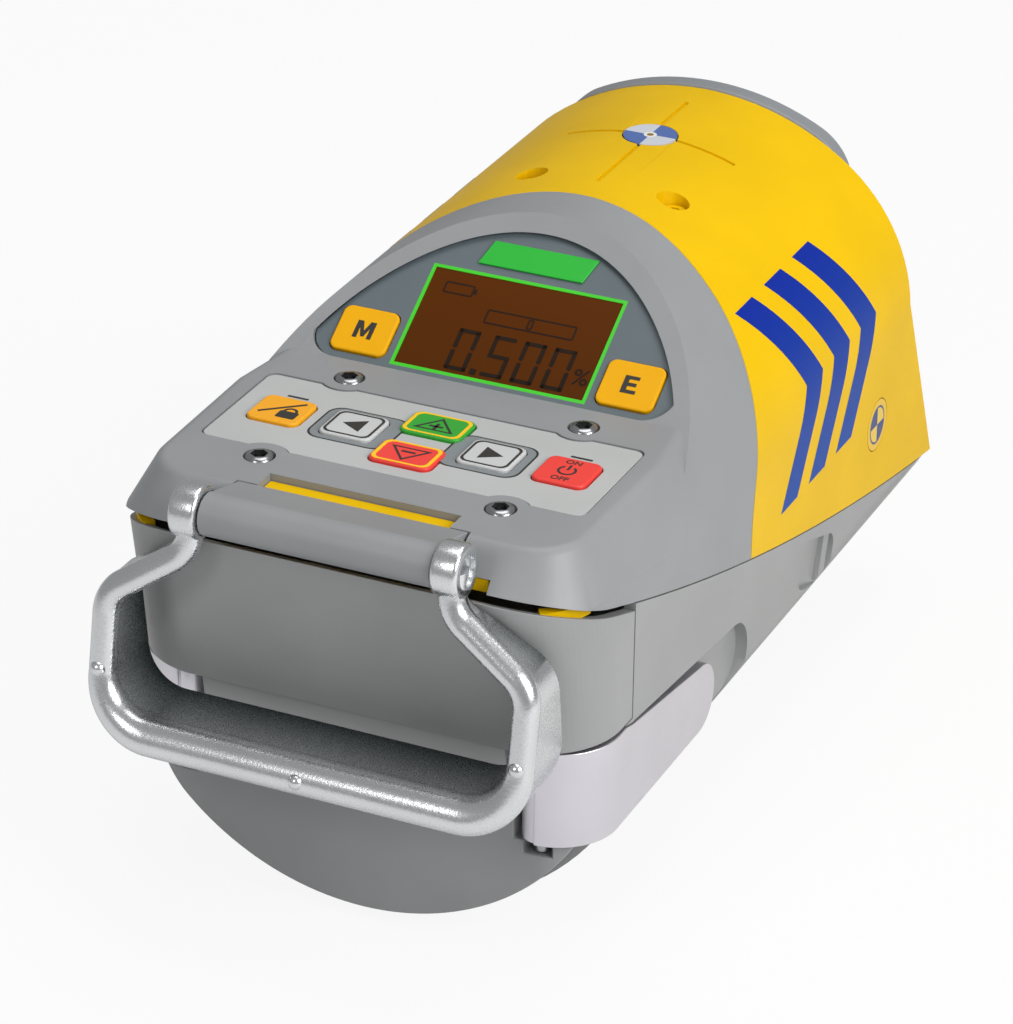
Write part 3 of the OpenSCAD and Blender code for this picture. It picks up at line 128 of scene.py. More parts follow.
# Distances in metres under which points are merged, in made meshes and in copies of the solids.
MADE_MERGE = 1e-7
SOLID_MERGE = 2e-6
# Angles in degrees: faces of a solid that count as flat, edges that are rounded, edges that stay sharp.
FLAT_ANGLE = 0.2
BEVEL_ANGLE = 34
SHARP_ANGLE = 30
# Photograph's width in pixels, the focal length fitted to it, and the sensor width in millimetres.
PHOTO_W = 1013
FOCAL_PX = 4379.57
SENSOR_W = 36.0
# Camera's right, up and backward directions, and its place in metres from the drawer front.
CAMERA_AXES = (
    (0.907931007, 0.418974540, 0.011028208),
    (-0.200732868, 0.411594632, 0.888986038),
    (0.367923365, -0.809351712, 0.457801489))
CAMERA_PLACE = (0.399938, -0.796778, 0.569017)
# Lamps: name, place and size in metres, power in watts; and the height of the point that they face.
LAMPS = (
    ("key lamp", (1.0, -0.35, 0.7), 0.6, 10.3),
    ("streak lamp", (-0.2, -1.1, 0.8), 0.3, 2.4),
    ("top lamp", (0.1, 0.2, 1.2), 0.8, 5.5))
LAMP_AIM_Z = 0.06
# Strength of the fill light, half width of the floor in metres, its grey and its share of plain white.
FILL = 0.32
FLOOR_REACH = 4
FLOOR_GREY = 0.75
FLOOR_WHITE = 0.9


def linear(hex_colour):
    """Linear RGB of an sRGB hex colour."""
    srgb = np.array([int(hex_colour[i:i + 2], 16) for i in (1, 3, 5)]) / 255.0
    return np.where(srgb <= 0.04045, srgb / 12.92, ((srgb + 0.055) / 1.055) ** 2.4)


class PipeLaserSizes(bpy.types.PropertyGroup):
    """Sizes of what is shaped and printed here."""

    edge: bpy.props.FloatProperty(
        name="Shell edge", description="Rounding of moulded and sprayed edges",
        default=0.7 * MM, min=0.1 * MM, max=2 * MM, precision=5, unit="LENGTH")
    key_edge: bpy.props.FloatProperty(
        name="Key edge", description="Rounding of the key edges",
        default=0.5 * MM, min=0.1 * MM, max=1 * MM, precision=5, unit="LENGTH")
    ink: bpy.props.FloatProperty(
        name="Ink thickness", description="Thickness of printed legends",
        default=0.06 * MM, min=0.02 * MM, max=0.2 * MM, precision=5, unit="LENGTH")
    letter: bpy.props.FloatProperty(
        name="Letter height", description="Size of the letters on the display keys",
        default=5.0 * MM, min=3 * MM, max=7 * MM, precision=5, unit="LENGTH")
    chevrons: bpy.props.IntProperty(
        name="Chevrons", description="Number of chevrons on each side wall", default=3, min=1, max=4)
    chevron_width: bpy.props.FloatProperty(
        name="Chevron width", description="Width of one chevron along the body",
        default=11 * MM, min=5 * MM, max=14 * MM, precision=5, unit="LENGTH")


class PipeLaserColours(bpy.types.PropertyGroup):
    """Main colours of the part."""

    coat: bpy.props.FloatVectorProperty(
        name="Housing coat", description="Colour of the upper housing", subtype="COLOR",
        default=linear("#E2B600"), min=0, max=1)
    bezel: bpy.props.FloatVectorProperty(
        name="Bezel", description="Colour of the control bezel", subtype="COLOR",
        default=linear("#8E9092"), min=0, max=1)
    lower: bpy.props.FloatVectorProperty(
        name="Lower housing", description="Colour of the lower housing and front panel", subtype="COLOR",
        default=linear("#969797"), min=0, max=1)
    handle: bpy.props.FloatVectorProperty(
        name="Handle", description="Colour of the plated handle", subtype="COLOR",
        default=linear("#E2E4E6"), min=0, max=1)


# Materials


def add(tree, kind, settings=(), links=()):
    """Adds a node of a kind, sets its properties or input values, and links its inputs to sockets."""
    made = tree.nodes.new(kind)
    for key, value in dict(settings).items():
        if isinstance(key, str) and hasattr(made, key):
            setattr(made, key, value)
        else:
            made.inputs[key].default_value = value
    for key, socket in dict(links).items():
        tree.links.new(socket, made.inputs[key])
    return made


def blank(name):
    """A node material with nothing in it, its tree and its object coordinates."""
    material = bpy.data.materials.new(name)
    material.use_nodes = True
    tree = material.node_tree
    tree.nodes.clear()
    return material, tree, add(tree, "ShaderNodeTexCoord").outputs["Object"]


def surfaced(material, tree, settings, links):
    """The material, ended with a principled surface of these settings and links."""
    surface = add(tree, "ShaderNodeBsdfPrincipled", settings, links).outputs[0]
    add(tree, "ShaderNodeOutputMaterial", {}, {"Surface": surface})
    return material


def two_tone(tree, fac, low, high, ends=(0.3, 0.7)):
    """Blend between two linear colours as a value runs between two ends."""
    ramp = add(tree, "ShaderNodeValToRGB", {}, {"Fac": fac})
    for element, colour, place in zip(ramp.color_ramp.elements, (low, high), ends):
        element.position = place
        element.color = (*np.clip(colour, 0, 1), 1)
    return ramp.outputs["Color"]


def over(tree, fac, colour, tint):
    """A plain tint laid over a colour as a value runs from nought to one."""
    # Inputs of the node for colours: 0 is the factor, 6 and 7 are both colours; output 2 is the result.
    settings = {"data_type": "RGBA", 7: (*tint, 1)}
    return add(tree, "ShaderNodeMix", settings, {0: fac, 6: colour}).outputs[2]


def speckled(tree, place, size_mm, low, high):
    """Roughness that wanders between two values with a noise of a given size."""
    noise = add(tree, "ShaderNodeTexNoise", {"Scale": 1 / (size_mm * MM)}, {"Vector": place})
    ends = {"To Min": low, "To Max": high}
    return add(tree, "ShaderNodeMapRange", ends, {"Value": noise.outputs["Fac"]}).outputs["Result"]


def sprayed(name, colour, rough, grain_mm, depth_mm, metallic=0.0, coat=0.0, spread=0.06, stretch=1.0,
            level=0.5, painted_shade=None):
    """A moulded, sprayed or plated finish: a soft mottling round one colour, a grain in the surface
    that can be drawn out along the body, and a small spread of gloss with that grain. Where a colour of
    painted shade is given, the colour turns towards it with the mesh's own painted shade value."""
    cloud_mm, mottle = 28, 0.04
    material, tree, place = blank(name)
    cloud = add(tree, "ShaderNodeTexNoise", {"Scale": 1 / (cloud_mm * MM), "Detail": 3.0}, {"Vector": place})
    drawn = add(tree, "ShaderNodeMapping", {"Scale": (1, 1 / stretch, 1)}, {"Vector": place})
    grain = add(tree, "ShaderNodeTexNoise", {"Scale": 1 / (grain_mm * MM), "Detail": 2.0},
                {"Vector": drawn.outputs["Vector"]}).outputs["Fac"]
    gloss = add(tree, "ShaderNodeMapRange", {"To Min": rough - spread, "To Max": rough + spread},
                {"Value": grain})
    bump = add(tree, "ShaderNodeBump", {"Strength": 1.0, "Distance": depth_mm * MM}, {"Height": grain})
    tone = two_tone(tree, cloud.outputs["Fac"], colour * (1 - mottle), colour * (1 + mottle))
    # Painted shade: where the mesh's painted shade value grows, the colour turns towards a dark tint.
    if painted_shade:
        depth = add(tree, "ShaderNodeAttribute", {"attribute_name": "painted_shade"}).outputs["Fac"]
        tone = over(tree, depth, tone, linear(painted_shade))
    return surfaced(
        material, tree, {"Metallic": metallic, "Coat Weight": coat, "Specular IOR Level": level},
        {"Base Color": tone, "Roughness": gloss.outputs["Result"], "Normal": bump.outputs["Normal"]})


def quartered(name, centre, plane, one, other, bands):
    """Quartered print: four cells of a checker meet in the middle of the mark, and bands of plain colour
    between two distances from the middle, measured in the plane of the mark, lie over them."""
    cell, speck_mm, smooth, dull = 20 * MM, 0.6, 0.3, 0.45
    material, tree, place = blank(name)
    shift = {"Location": tuple(-c / cell for c in centre), "Scale": (1 / cell,) * 3}
    shifted = add(tree, "ShaderNodeMapping", shift, {"Vector": place}).outputs["Vector"]
    cells = {"Color1": (*one, 1), "Color2": (*other, 1), "Scale": 1.0}
    colour = add(tree, "ShaderNodeTexChecker", cells, {"Vector": shifted}).outputs["Color"]
    in_plane = {"operation": "MULTIPLY", 1: plane}
    flat = add(tree, "ShaderNodeVectorMath", in_plane, {0: shifted}).outputs["Vector"]
    far = add(tree, "ShaderNodeVectorMath", {"operation": "LENGTH"}, {0: flat}).outputs["Value"]
    for near_mm, far_mm, tint in bands:
        middle = (near_mm + far_mm) / 2 * MM / cell
        reach = (far_mm - near_mm) / 2 * MM / cell
        within = {"operation": "COMPARE", 1: middle, 2: reach}
        colour = over(tree, add(tree, "ShaderNodeMath", within, {0: far}).outputs[0], colour, tint)
    gloss = speckled(tree, place, speck_mm, smooth, dull)
    return surfaced(material, tree, {}, {"Base Color": colour, "Roughness": gloss})


def graded(name, low, high, foot, top, rough, level):
    """Print or tint whose colour runs from one colour to another with height as painted light, with a faint
    speckle of gloss.
    """
    speck_mm, spread = 0.8, 0.2
    material, tree, place = blank(name)
    height = add(tree, "ShaderNodeSeparateXYZ", {}, {"Vector": place}).outputs["Z"]
    share = add(tree, "ShaderNodeMapRange", {"From Min": foot * MM, "From Max": top * MM}, {"Value": height})
    tone = two_tone(tree, share.outputs["Result"], low, high, (0.0, 1.0))
    gloss = speckled(tree, place, speck_mm, rough * (1 - spread), rough * (1 + spread))
    return surfaced(material, tree, {"Specular IOR Level": level}, {"Base Color": tone, "Roughness": gloss})


def polished_glass(name, tint):
    """Polished flat glass: clear with a slight tint and a faint unevenness of gloss."""
    haze_mm, dullest, bending = 6, 0.04, 1.5
    material, tree, place = blank(name)
    gloss = speckled(tree, place, haze_mm, 0.0, dullest)
    return surfaced(material, tree, {"Base Color": (*tint, 1), "Transmission Weight": 1.0, "IOR": bending},
                    {"Roughness": gloss})


# Finish: colour (hex or a colour setting's name), roughness, grain and its depth in mm, further settings.
FINISHES = {
    # Powder coat on die-cast alloy: even strong yellow with a fine orange peel that breaks the gloss.
    "yellow powder coat": ("coat", 0.42, 1.1, 0.006, {"level": 0.1}),
    # Moulded ABS with a fine spark-eroded grain: soft, even, wide highlights.
    "grey moulded ABS": ("bezel", 0.45, 0.5, 0.006, {}),
    # Hard-coated film: smooth and slightly darker and bluer than the bezel.
    "display panel film": ("#5C676C", 0.46, 0.6, 0.006, {}),
    # Screen prints under film: saturated, even greens.
    "green frame print": ("#3CC81E", 0.4, 0.6, 0.004, {}),
    "green badge print": ("#18B02C", 0.4, 0.6, 0.004, {}),
    # Screen inks on film: a warm near black, a mid grey field and a bright yellow line, all flat.
    "dark legend ink": ("#2A2823", 0.5, 0.5, 0.004, {}),
    "grey backing print": ("#7E8487", 0.45, 0.6, 0.004, {}),
    "yellow outline print": ("#F4C413", 0.42, 0.6, 0.004, {}),
    # Embossed polyester keypad film: satin with a faint grain.
    "light keypad film": ("#B4B6B5", 0.45, 0.6, 0.01, {}),
    # The same film on the keys: clear colours, with less gloss where it would wash them out.
    "yellow key film": ("#E8A800", 0.42, 0.6, 0.01, {"level": 0.2}),
    "orange key film": ("#EFA61C", 0.42, 0.6, 0.01, {"level": 0.3}),
    "white key film": ("#C2C3C3", 0.42, 0.6, 0.01, {}),
    "green key film": ("#2C9F2C", 0.42, 0.6, 0.01, {}),
    "red key film": ("#E83C33", 0.42, 0.6, 0.01, {}),
    # Sprayed aluminium: a little coarser than the bezel, satin.
    "grey sprayed aluminium": ("lower", 0.42, 0.6, 0.006, {}),
    # Sprayed drawer cap and nose: the same satin, one and two steps darker.
    "grey drawer cap": ("#8E8F90", 0.44, 0.6, 0.006, {}),
    "grey nose casting": ("#85888B", 0.42, 0.6, 0.006, {}),
    # Moulded rubber: dark and dull.
    "black rubber": ("#222324", 0.7, 0.8, 0.03, {}),
    # Moulded tray: near black with a coarse, dull grain.
    "black tray plastic": ("#3E4042", 0.55, 0.7, 0.02, {}),
    # Solder mask over copper: dark green, half gloss.
    "green circuit board": ("#1A5330", 0.4, 1.2, 0.02, {"coat": 0.3}),
    # Zinc plated steel: bright with a slight grey bloom.
    "zinc plated steel": ("#A6A8AA", 0.28, 0.5, 0.008, {"metallic": 1.0}),
    # Painted shade in the screw sockets and crown screw slots: a dark and dull metal.
    "painted socket shade": ("#3A3B3C", 0.5, 0.5, 0.01, {"metallic": 1.0}),
    # Shot-blasted casting under bright nickel plate: a sparkling grain, coarser than real so that it shows.
    # The dark teal grey is painted shade on the inner web of the loop.
    "bright plated handle casting": (
        "handle", 0.26, 0.6, 0.028, {"metallic": 1.0, "spread": 0.08, "painted_shade": "#4C5A5A"}),
    # Ground steel: bright and fine, with a narrow highlight.
    "ground steel pin": ("#B0B2B4", 0.3, 0.4, 0.006, {"metallic": 1.0}),
    # Anodised extrusion: satin with fine draw lines along the body.
    "satin anodised latch": ("#DEDCE2", 0.36, 0.5, 0.006, {"metallic": 1.0, "stretch": 30.0}),
    # Rolled brass: warm and bright.
    "brass contact": ("#C39A42", 0.3, 0.5, 0.008, {"metallic": 1.0}),
    # Milled aluminium: grey with tool lines along the body.
    "milled inner alloy": ("#999C9F", 0.38, 0.5, 0.008, {"metallic": 1.0, "stretch": 20.0}),
    # Drawn steel and black anodised aluminium: dark satin metals.
    "steel motor case": ("#606468", 0.38, 0.5, 0.008, {"metallic": 1.0}),
    "black anodised tube": ("#383C40", 0.38, 0.5, 0.008, {"metallic": 1.0}),
    # Lacquered steel sleeve: brown with a half metallic sheen.
    "printed cell case": ("#84652A", 0.35, 0.6, 0.004, {"metallic": 0.6}),
}
# Graded finish: colours at its foot and top, heights of both in mm, roughness, strength of the gloss.
GRADED = {
    # Brown tinted acrylic over a display: dark, with hardly any gloss, and a little lighter up the slope as
    # painted light.
    "tinted display window": ("#522A08", "#582C08", 113, 129, 0.3, 0.05),
    # Bars of a liquid crystal display: dark brown and flat, a little lighter up the slope as painted light.
    "dark display bars": ("#1E1206", "#2A180A", 113, 129, 0.5, 0.15),
    # Enamel print on the side walls: blue, turned deeper towards the crown by painted shade.
    "blue wall print": ("#08469A", "#082690", 66, 124, 0.4, 0.12),
}
# Middles of the quartered marks; the first number of the wall mark gives both walls the same cells.
CROWN_MARK = (0, 169.4, 130)
WALL_MARK = (10, 183, 64.6)
# Radii in the marks: pin and ring on the crown; ring and rim on the wall.
CROWN_PIN_R = 0.9
CROWN_RING_R = 1.7
WALL_RING_R = (4.7, 5.3)
WALL_RIM_R = 9
WEARS = {
    "upper_housing": "yellow powder coat", "control_bezel": "grey moulded ABS",
    "display_panel": "display panel film", "display_frame": "green frame print",
    "display_window": "tinted display window", "lcd_module": "green circuit board",
    "badge_plate": "green badge print", "keypad_plate": "light keypad film",
    "menu_key": "yellow key film", "enter_key": "yellow key film", "lock_key": "orange key film",
    "left_key": "white key film", "right_key": "white key film", "plus_key": "green key film",
    "minus_key": "red key film", "power_key": "red key film", "bezel_screws": "zinc plated steel",
    "target_disc": "quartered crown mark", "side_marks": "quartered wall mark",
    "crown_screws": "yellow powder coat", "nose_ring": "grey nose casting",
    "window_glass": "polished beam window", "window_seal": "black rubber",
    "lower_housing": "grey sprayed aluminium", "front_panel": "grey sprayed aluminium",
    "hinge_bar": "grey moulded ABS", "hinge_pin": "ground steel pin",
    "carry_handle": "bright plated handle casting", "battery_cap": "grey drawer cap",
    "battery_tray": "black tray plastic", "battery_cells": "printed cell case",
    "battery_contacts": "brass contact", "battery_seal": "black rubber",
    "left_latch": "satin anodised latch", "right_latch": "satin anodised latch",
    "latch_pins": "ground steel pin", "foot_pads": "black rubber", "optics_frame": "milled inner alloy",
    "line_motor": "steel motor case", "gimbal_yoke": "milled inner alloy", "grade_motor": "steel motor case",
    "laser_tube": "black anodised tube", "laser_lens": "polished beam window",
    "laser_board": "green circuit board", "main_board": "green circuit board",
}


def finish(name):
    """The material of that name, made on its first use."""
    made = bpy.data.materials.get(name)
    if made:
        return made
    colours = bpy.context.scene.pipe_laser_colours
    if name in GRADED:
        low, high, *further = GRADED[name]
        return graded(name, linear(low), linear(high), *further)
    # Enamel quarters on a metal disc: pale and blue round a brown pin with a light ring.
    if name == "quartered crown mark":
        bands = ((CROWN_PIN_R, CROWN_RING_R, linear("#E2E2DE")), (0, CROWN_PIN_R, linear("#8A6A1C")))
        return quartered(name, world(*CROWN_MARK), (1, 1, 0), linear("#C6CAD2"), linear("#4A66A6"), bands)
    # Enamel quarters on a metal disc: blue and yellow in a blue ring, with a rim in the colour of the coat.
    if name == "quartered wall mark":
        blue = linear("#20366F")
        bands = ((*WALL_RING_R, blue), (WALL_RING_R[1], WALL_RIM_R, np.array(colours.coat)))
        return quartered(name, world(*WALL_MARK), (0, 1, 1), blue, linear("#E2BE3A"), bands)
    # Anti-reflection glass of the beam window: clear with a cool tint.
    if name == "polished beam window":
        return polished_glass(name, linear("#D6E6E8"))
    colour, rough, grain, depth, further = FINISHES[name]
    base = linear(colour) if colour.startswith("#") else np.array(getattr(colours, colour))
    return sprayed(name, base, rough, grain, depth, **further)


# Shapes


def world(x, y, z):
    """Point of the frame in metres from millimetres with y measured from the drawer front."""
    x, y, z = np.broadcast_arrays(x, y, z)
    return np.stack([x * MM, y * MM + FRONT, z * MM], -1)


def on_deck(x, y, h):
    """Point over the keypad deck at height h."""
    return world(x, y, DECK_Z + h)


def on_face(x, s, h):
    """Point on the sloped display face: s up the slope from its foot, h out of the face."""
    return world(x, DISP_Y + s * np.cos(DISP_TILT) - h * np.sin(DISP_TILT),
                 DECK_Z + s * np.sin(DISP_TILT) + h * np.cos(DISP_TILT))


def on_wall(y, s, h):
    """Point on the right wall: upright up to the shoulder, then round the shoulder by the length left."""
    turn = np.maximum(s - SHOULDER_Z, 0) / SHOULDER_R
    return world(SHOULDER_X + (SHOULDER_R + h) * np.cos(turn), y,
                 np.minimum(s, SHOULDER_Z) + (SHOULDER_R + h) * np.sin(turn))


def hung(x, s, b):
    """Point of the hanging handle: sideways place, drop below the hinge line, depth towards the body."""
    return world(x, HINGE_Y - s * np.sin(HANG) + b, HINGE_Z - s * np.cos(HANG))


def skin(rings, ends=True):
    """Skin over rows of points: each row is a closed ring; the ends are capped, or joined if ends is off."""
    n, m = rings.shape[:2]
    i, j = np.meshgrid(np.arange(n - 1 if ends else n), np.arange(m), indexing="ij")
    up, on = (i + 1) % n, (j + 1) % m
    faces = np.stack([i * m + j, i * m + on, up * m + on, up * m + j], -1).reshape(-1, 4).tolist()
    if ends:
        faces += [list(range(m)), list(range((n - 1) * m, n * m))]
    return rings.reshape(-1, 3), faces


def plate(loop, place, h, ink):
    """Thin plate of an outline: the outline at height h and again one ink thickness above."""
    return skin(np.stack([place(loop[:, 0], loop[:, 1], h), place(loop[:, 0], loop[:, 1], h + ink)]))


def rim(outer, inner, place, h, ink):
    """Thin frame between two outlines of equal length: four rows of points joined to a closed band."""
    return skin(np.stack([place(line[:, 0], line[:, 1], height) for line, height in
                          ((outer, h), (outer, h + ink), (inner, h + ink), (inner, h))]), ends=False)


def box_loop(x, y, width, length, r, n=7):
    """Outline of a rectangle whose corners are quarter circles."""
    turn = np.radians(np.linspace(0, 90, n))
    corners = []
    for sx, sy, start in ((1, 1, 0), (-1, 1, np.pi / 2), (-1, -1, np.pi), (1, -1, 1.5 * np.pi)):
        corners.append(np.stack([x + sx * (width / 2 - r) + r * np.cos(turn + start),
                                 y + sy * (length / 2 - r) + r * np.sin(turn + start)], 1))
    return np.concatenate(corners)


def arc_band(x, y, r0, r1, a0, a1, n=28):
    """Outline of a band between two radii from one angle to another."""
    turn = np.radians(np.linspace(a0, a1, n))
    ring = np.stack([np.cos(turn), np.sin(turn)], 1)
    return np.concatenate([ring * r1, ring[::-1] * r0]) + (x, y)


def grown(loop, share):
    """Outline scaled about its middle."""
    middle = loop.mean(0)
    return middle + (loop - middle) * share


def points_of(mesh):
    """Places of a mesh's points, one row for each."""
    flat = np.empty(len(mesh.vertices) * 3)
    mesh.vertices.foreach_get("co", flat)
    return flat.reshape(-1, 3)


def lettering(text, x, y, size, place, h, ink, bold):
    """Flat letters made a mesh, centred on a point and then laid on a surface."""
    curve = bpy.data.curves.new("lettering", "FONT")
    curve.body = text
    curve.size = size
    curve.align_x = "CENTER"
    curve.align_y = "CENTER"
    curve.extrude = ink / 2
    curve.offset = bold
    curve.resolution_u = 4
    holder = bpy.data.objects.new("lettering", curve)
    mesh = bpy.data.meshes.new_from_object(holder)
    flat = points_of(mesh)
    faces = [list(p.vertices) for p in mesh.polygons]
    bpy.data.objects.remove(holder)
    bpy.data.curves.remove(curve)
    bpy.data.meshes.remove(mesh)
    return place(flat[:, 0] + x, flat[:, 1] + y, flat[:, 2] + h + ink / 2), faces


def digit(char, x, y, width, height, t):
    """Bars of a seven-bar figure as outlines: three level ones and four upright ones with a small gap."""
    gap, r, half = t * 0.18, t * 0.22, height / 2
    right = x + width - t
    bars = {"a": (x, y + height - t, width, t), "g": (x, y + half - t / 2, width, t), "d": (x, y, width, t),
            "f": (x, y + half, t, half), "b": (right, y + half, t, half),
            "e": (x, y, t, half), "c": (right, y, t, half)}
    return [box_loop(bx + bw / 2, by + bh / 2, bw - 2 * gap, bh - 2 * gap, r, 3)
            for bx, by, bw, bh in (bars[name] for name in BARS_OF[char])]


def piece(name, shells, body, finish_name, nodes=(), sharp=32):
    """One piece of closed shells: doubles merged, faces turned outward, smooth up to an angle."""
    mesh = bpy.data.meshes.new(name)
    offset, points, faces = 0, [], []
    for verts, quads in shells:
        points.append(verts)
        faces += [[i + offset for i in quad] for quad in quads]
        offset += len(verts)
    mesh.from_pydata(np.concatenate(points).tolist(), [], faces)
    work = bmesh.new()
    work.from_mesh(mesh)
    bmesh.ops.remove_doubles(work, verts=work.verts, dist=MADE_MERGE)
    bmesh.ops.recalc_face_normals(work, faces=work.faces)
    work.to_mesh(mesh)
    work.free()
    return dress(name, mesh, body, finish_name, nodes, sharp)


def dress(name, mesh, body, finish_name, nodes, sharp):
    """Puts a mesh into the scene with its finish, shading, body and the nodes that it stands for."""
    mesh.materials.clear()
    mesh.materials.append(finish(finish_name))
    mesh.polygons.foreach_set("use_smooth", np.ones(len(mesh.polygons), bool))
    mesh.set_sharp_from_angle(angle=np.radians(sharp))
    made = bpy.data.objects.new(name, mesh)
    bpy.context.scene.collection.objects.link(made)
    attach(made, body)
    if nodes:
        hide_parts(*nodes)
    return made


def softened(node, width, segments=2):
    """Merged copy of a node's solid whose sharp edges are rounded by a bevel."""
    name = node + "_soft"
    mesh = frame["nodes"][node].data.copy()
    mesh.name = name
    work = bmesh.new()
    work.from_mesh(mesh)
    bmesh.ops.remove_doubles(work, verts=work.verts, dist=SOLID_MERGE)
    bmesh.ops.dissolve_limit(work, angle_limit=np.radians(FLAT_ANGLE), verts=work.verts, edges=work.edges)
    work.to_mesh(mesh)
    work.free()
    made = dress(name, mesh, BODY_OF[node], WEARS[node], (node,), SHARP_ANGLE)
    bevel = made.modifiers.new("rounded edges", "BEVEL")
    bevel.width = width
    bevel.segments = segments
    bevel.limit_method = "ANGLE"
    bevel.angle_limit = np.radians(BEVEL_ANGLE)
    bevel.harden_normals = True
    settled = bpy.data.meshes.new_from_object(made.evaluated_get(bpy.context.evaluated_depsgraph_get()))
    made.modifiers.clear()
    made.data = settled
    settled.name = name
    return made


def true_arch(mesh):
    """Turns the shading normals of faces on the arch to those of the arch itself: level on the upright
    walls, out from the shoulder's middle on the shoulders and out from the dome's middle on the crown.
    Shoulder and dome meet on the line through both middles."""
    slack, facing = 0.06, 0.96
    corners, faces = len(mesh.loops), len(mesh.polygons)
    normal, flat = np.empty(corners * 3), np.empty(faces * 3)
    verts, count = np.empty(corners, int), np.empty(faces, int)
    mesh.corner_normals.foreach_get("vector", normal)
    mesh.polygon_normals.foreach_get("vector", flat)
    mesh.loops.foreach_get("vertex_index", verts)
    mesh.polygons.foreach_get("loop_total", count)
    at, normal = points_of(mesh)[verts] / MM, normal.reshape(-1, 3)
    flat = np.repeat(flat.reshape(-1, 3), count, 0)
    x, z, side = np.abs(at[:, 0]), at[:, 2], np.sign(at[:, 0])
    out, up = x - SHOULDER_X, np.maximum(z - SHOULDER_Z, 0)
    crown = up * SHOULDER_X > out * (SHOULDER_Z - DOME_Z)
    out, up = np.where(crown, x, out), np.where(crown, z - DOME_Z, up)
    far = np.hypot(out, up)
    true = np.stack([side * out / far, 0 * x, up / far], 1)
    near = np.abs(far - np.where(crown, DOME_R, SHOULDER_R)) < slack
    on = near & ((true * flat).sum(1) > facing)
    mesh.normals_split_custom_set(np.where(on[:, None], true, normal).tolist())


# Operators


class PIPELASER_OT_finishes(bpy.types.Operator):
    """Gives every solid of the part its finish"""

    bl_idname = "pipe_laser.finishes"
    bl_label = "Finishes"

    def execute(self, context):
        for node, name in WEARS.items():
            mesh = frame["nodes"][node].data
            mesh.materials.clear()
            mesh.materials.append(finish(name))
        return {"FINISHED"}


class PIPELASER_OT_shells(bpy.types.Operator):
    """Rounds the edges of the housing, bezel, drawer, latches and nose"""

    bl_idname = "pipe_laser.shells"
    bl_label = "Soft shells"

    def execute(self, context):
        edge = context.scene.pipe_laser_sizes.edge
        for node, share in EDGE_SHARES.items():
            made = softened(node, edge * share)
            if node in ARCHED:
                true_arch(made.data)
        return {"FINISHED"}


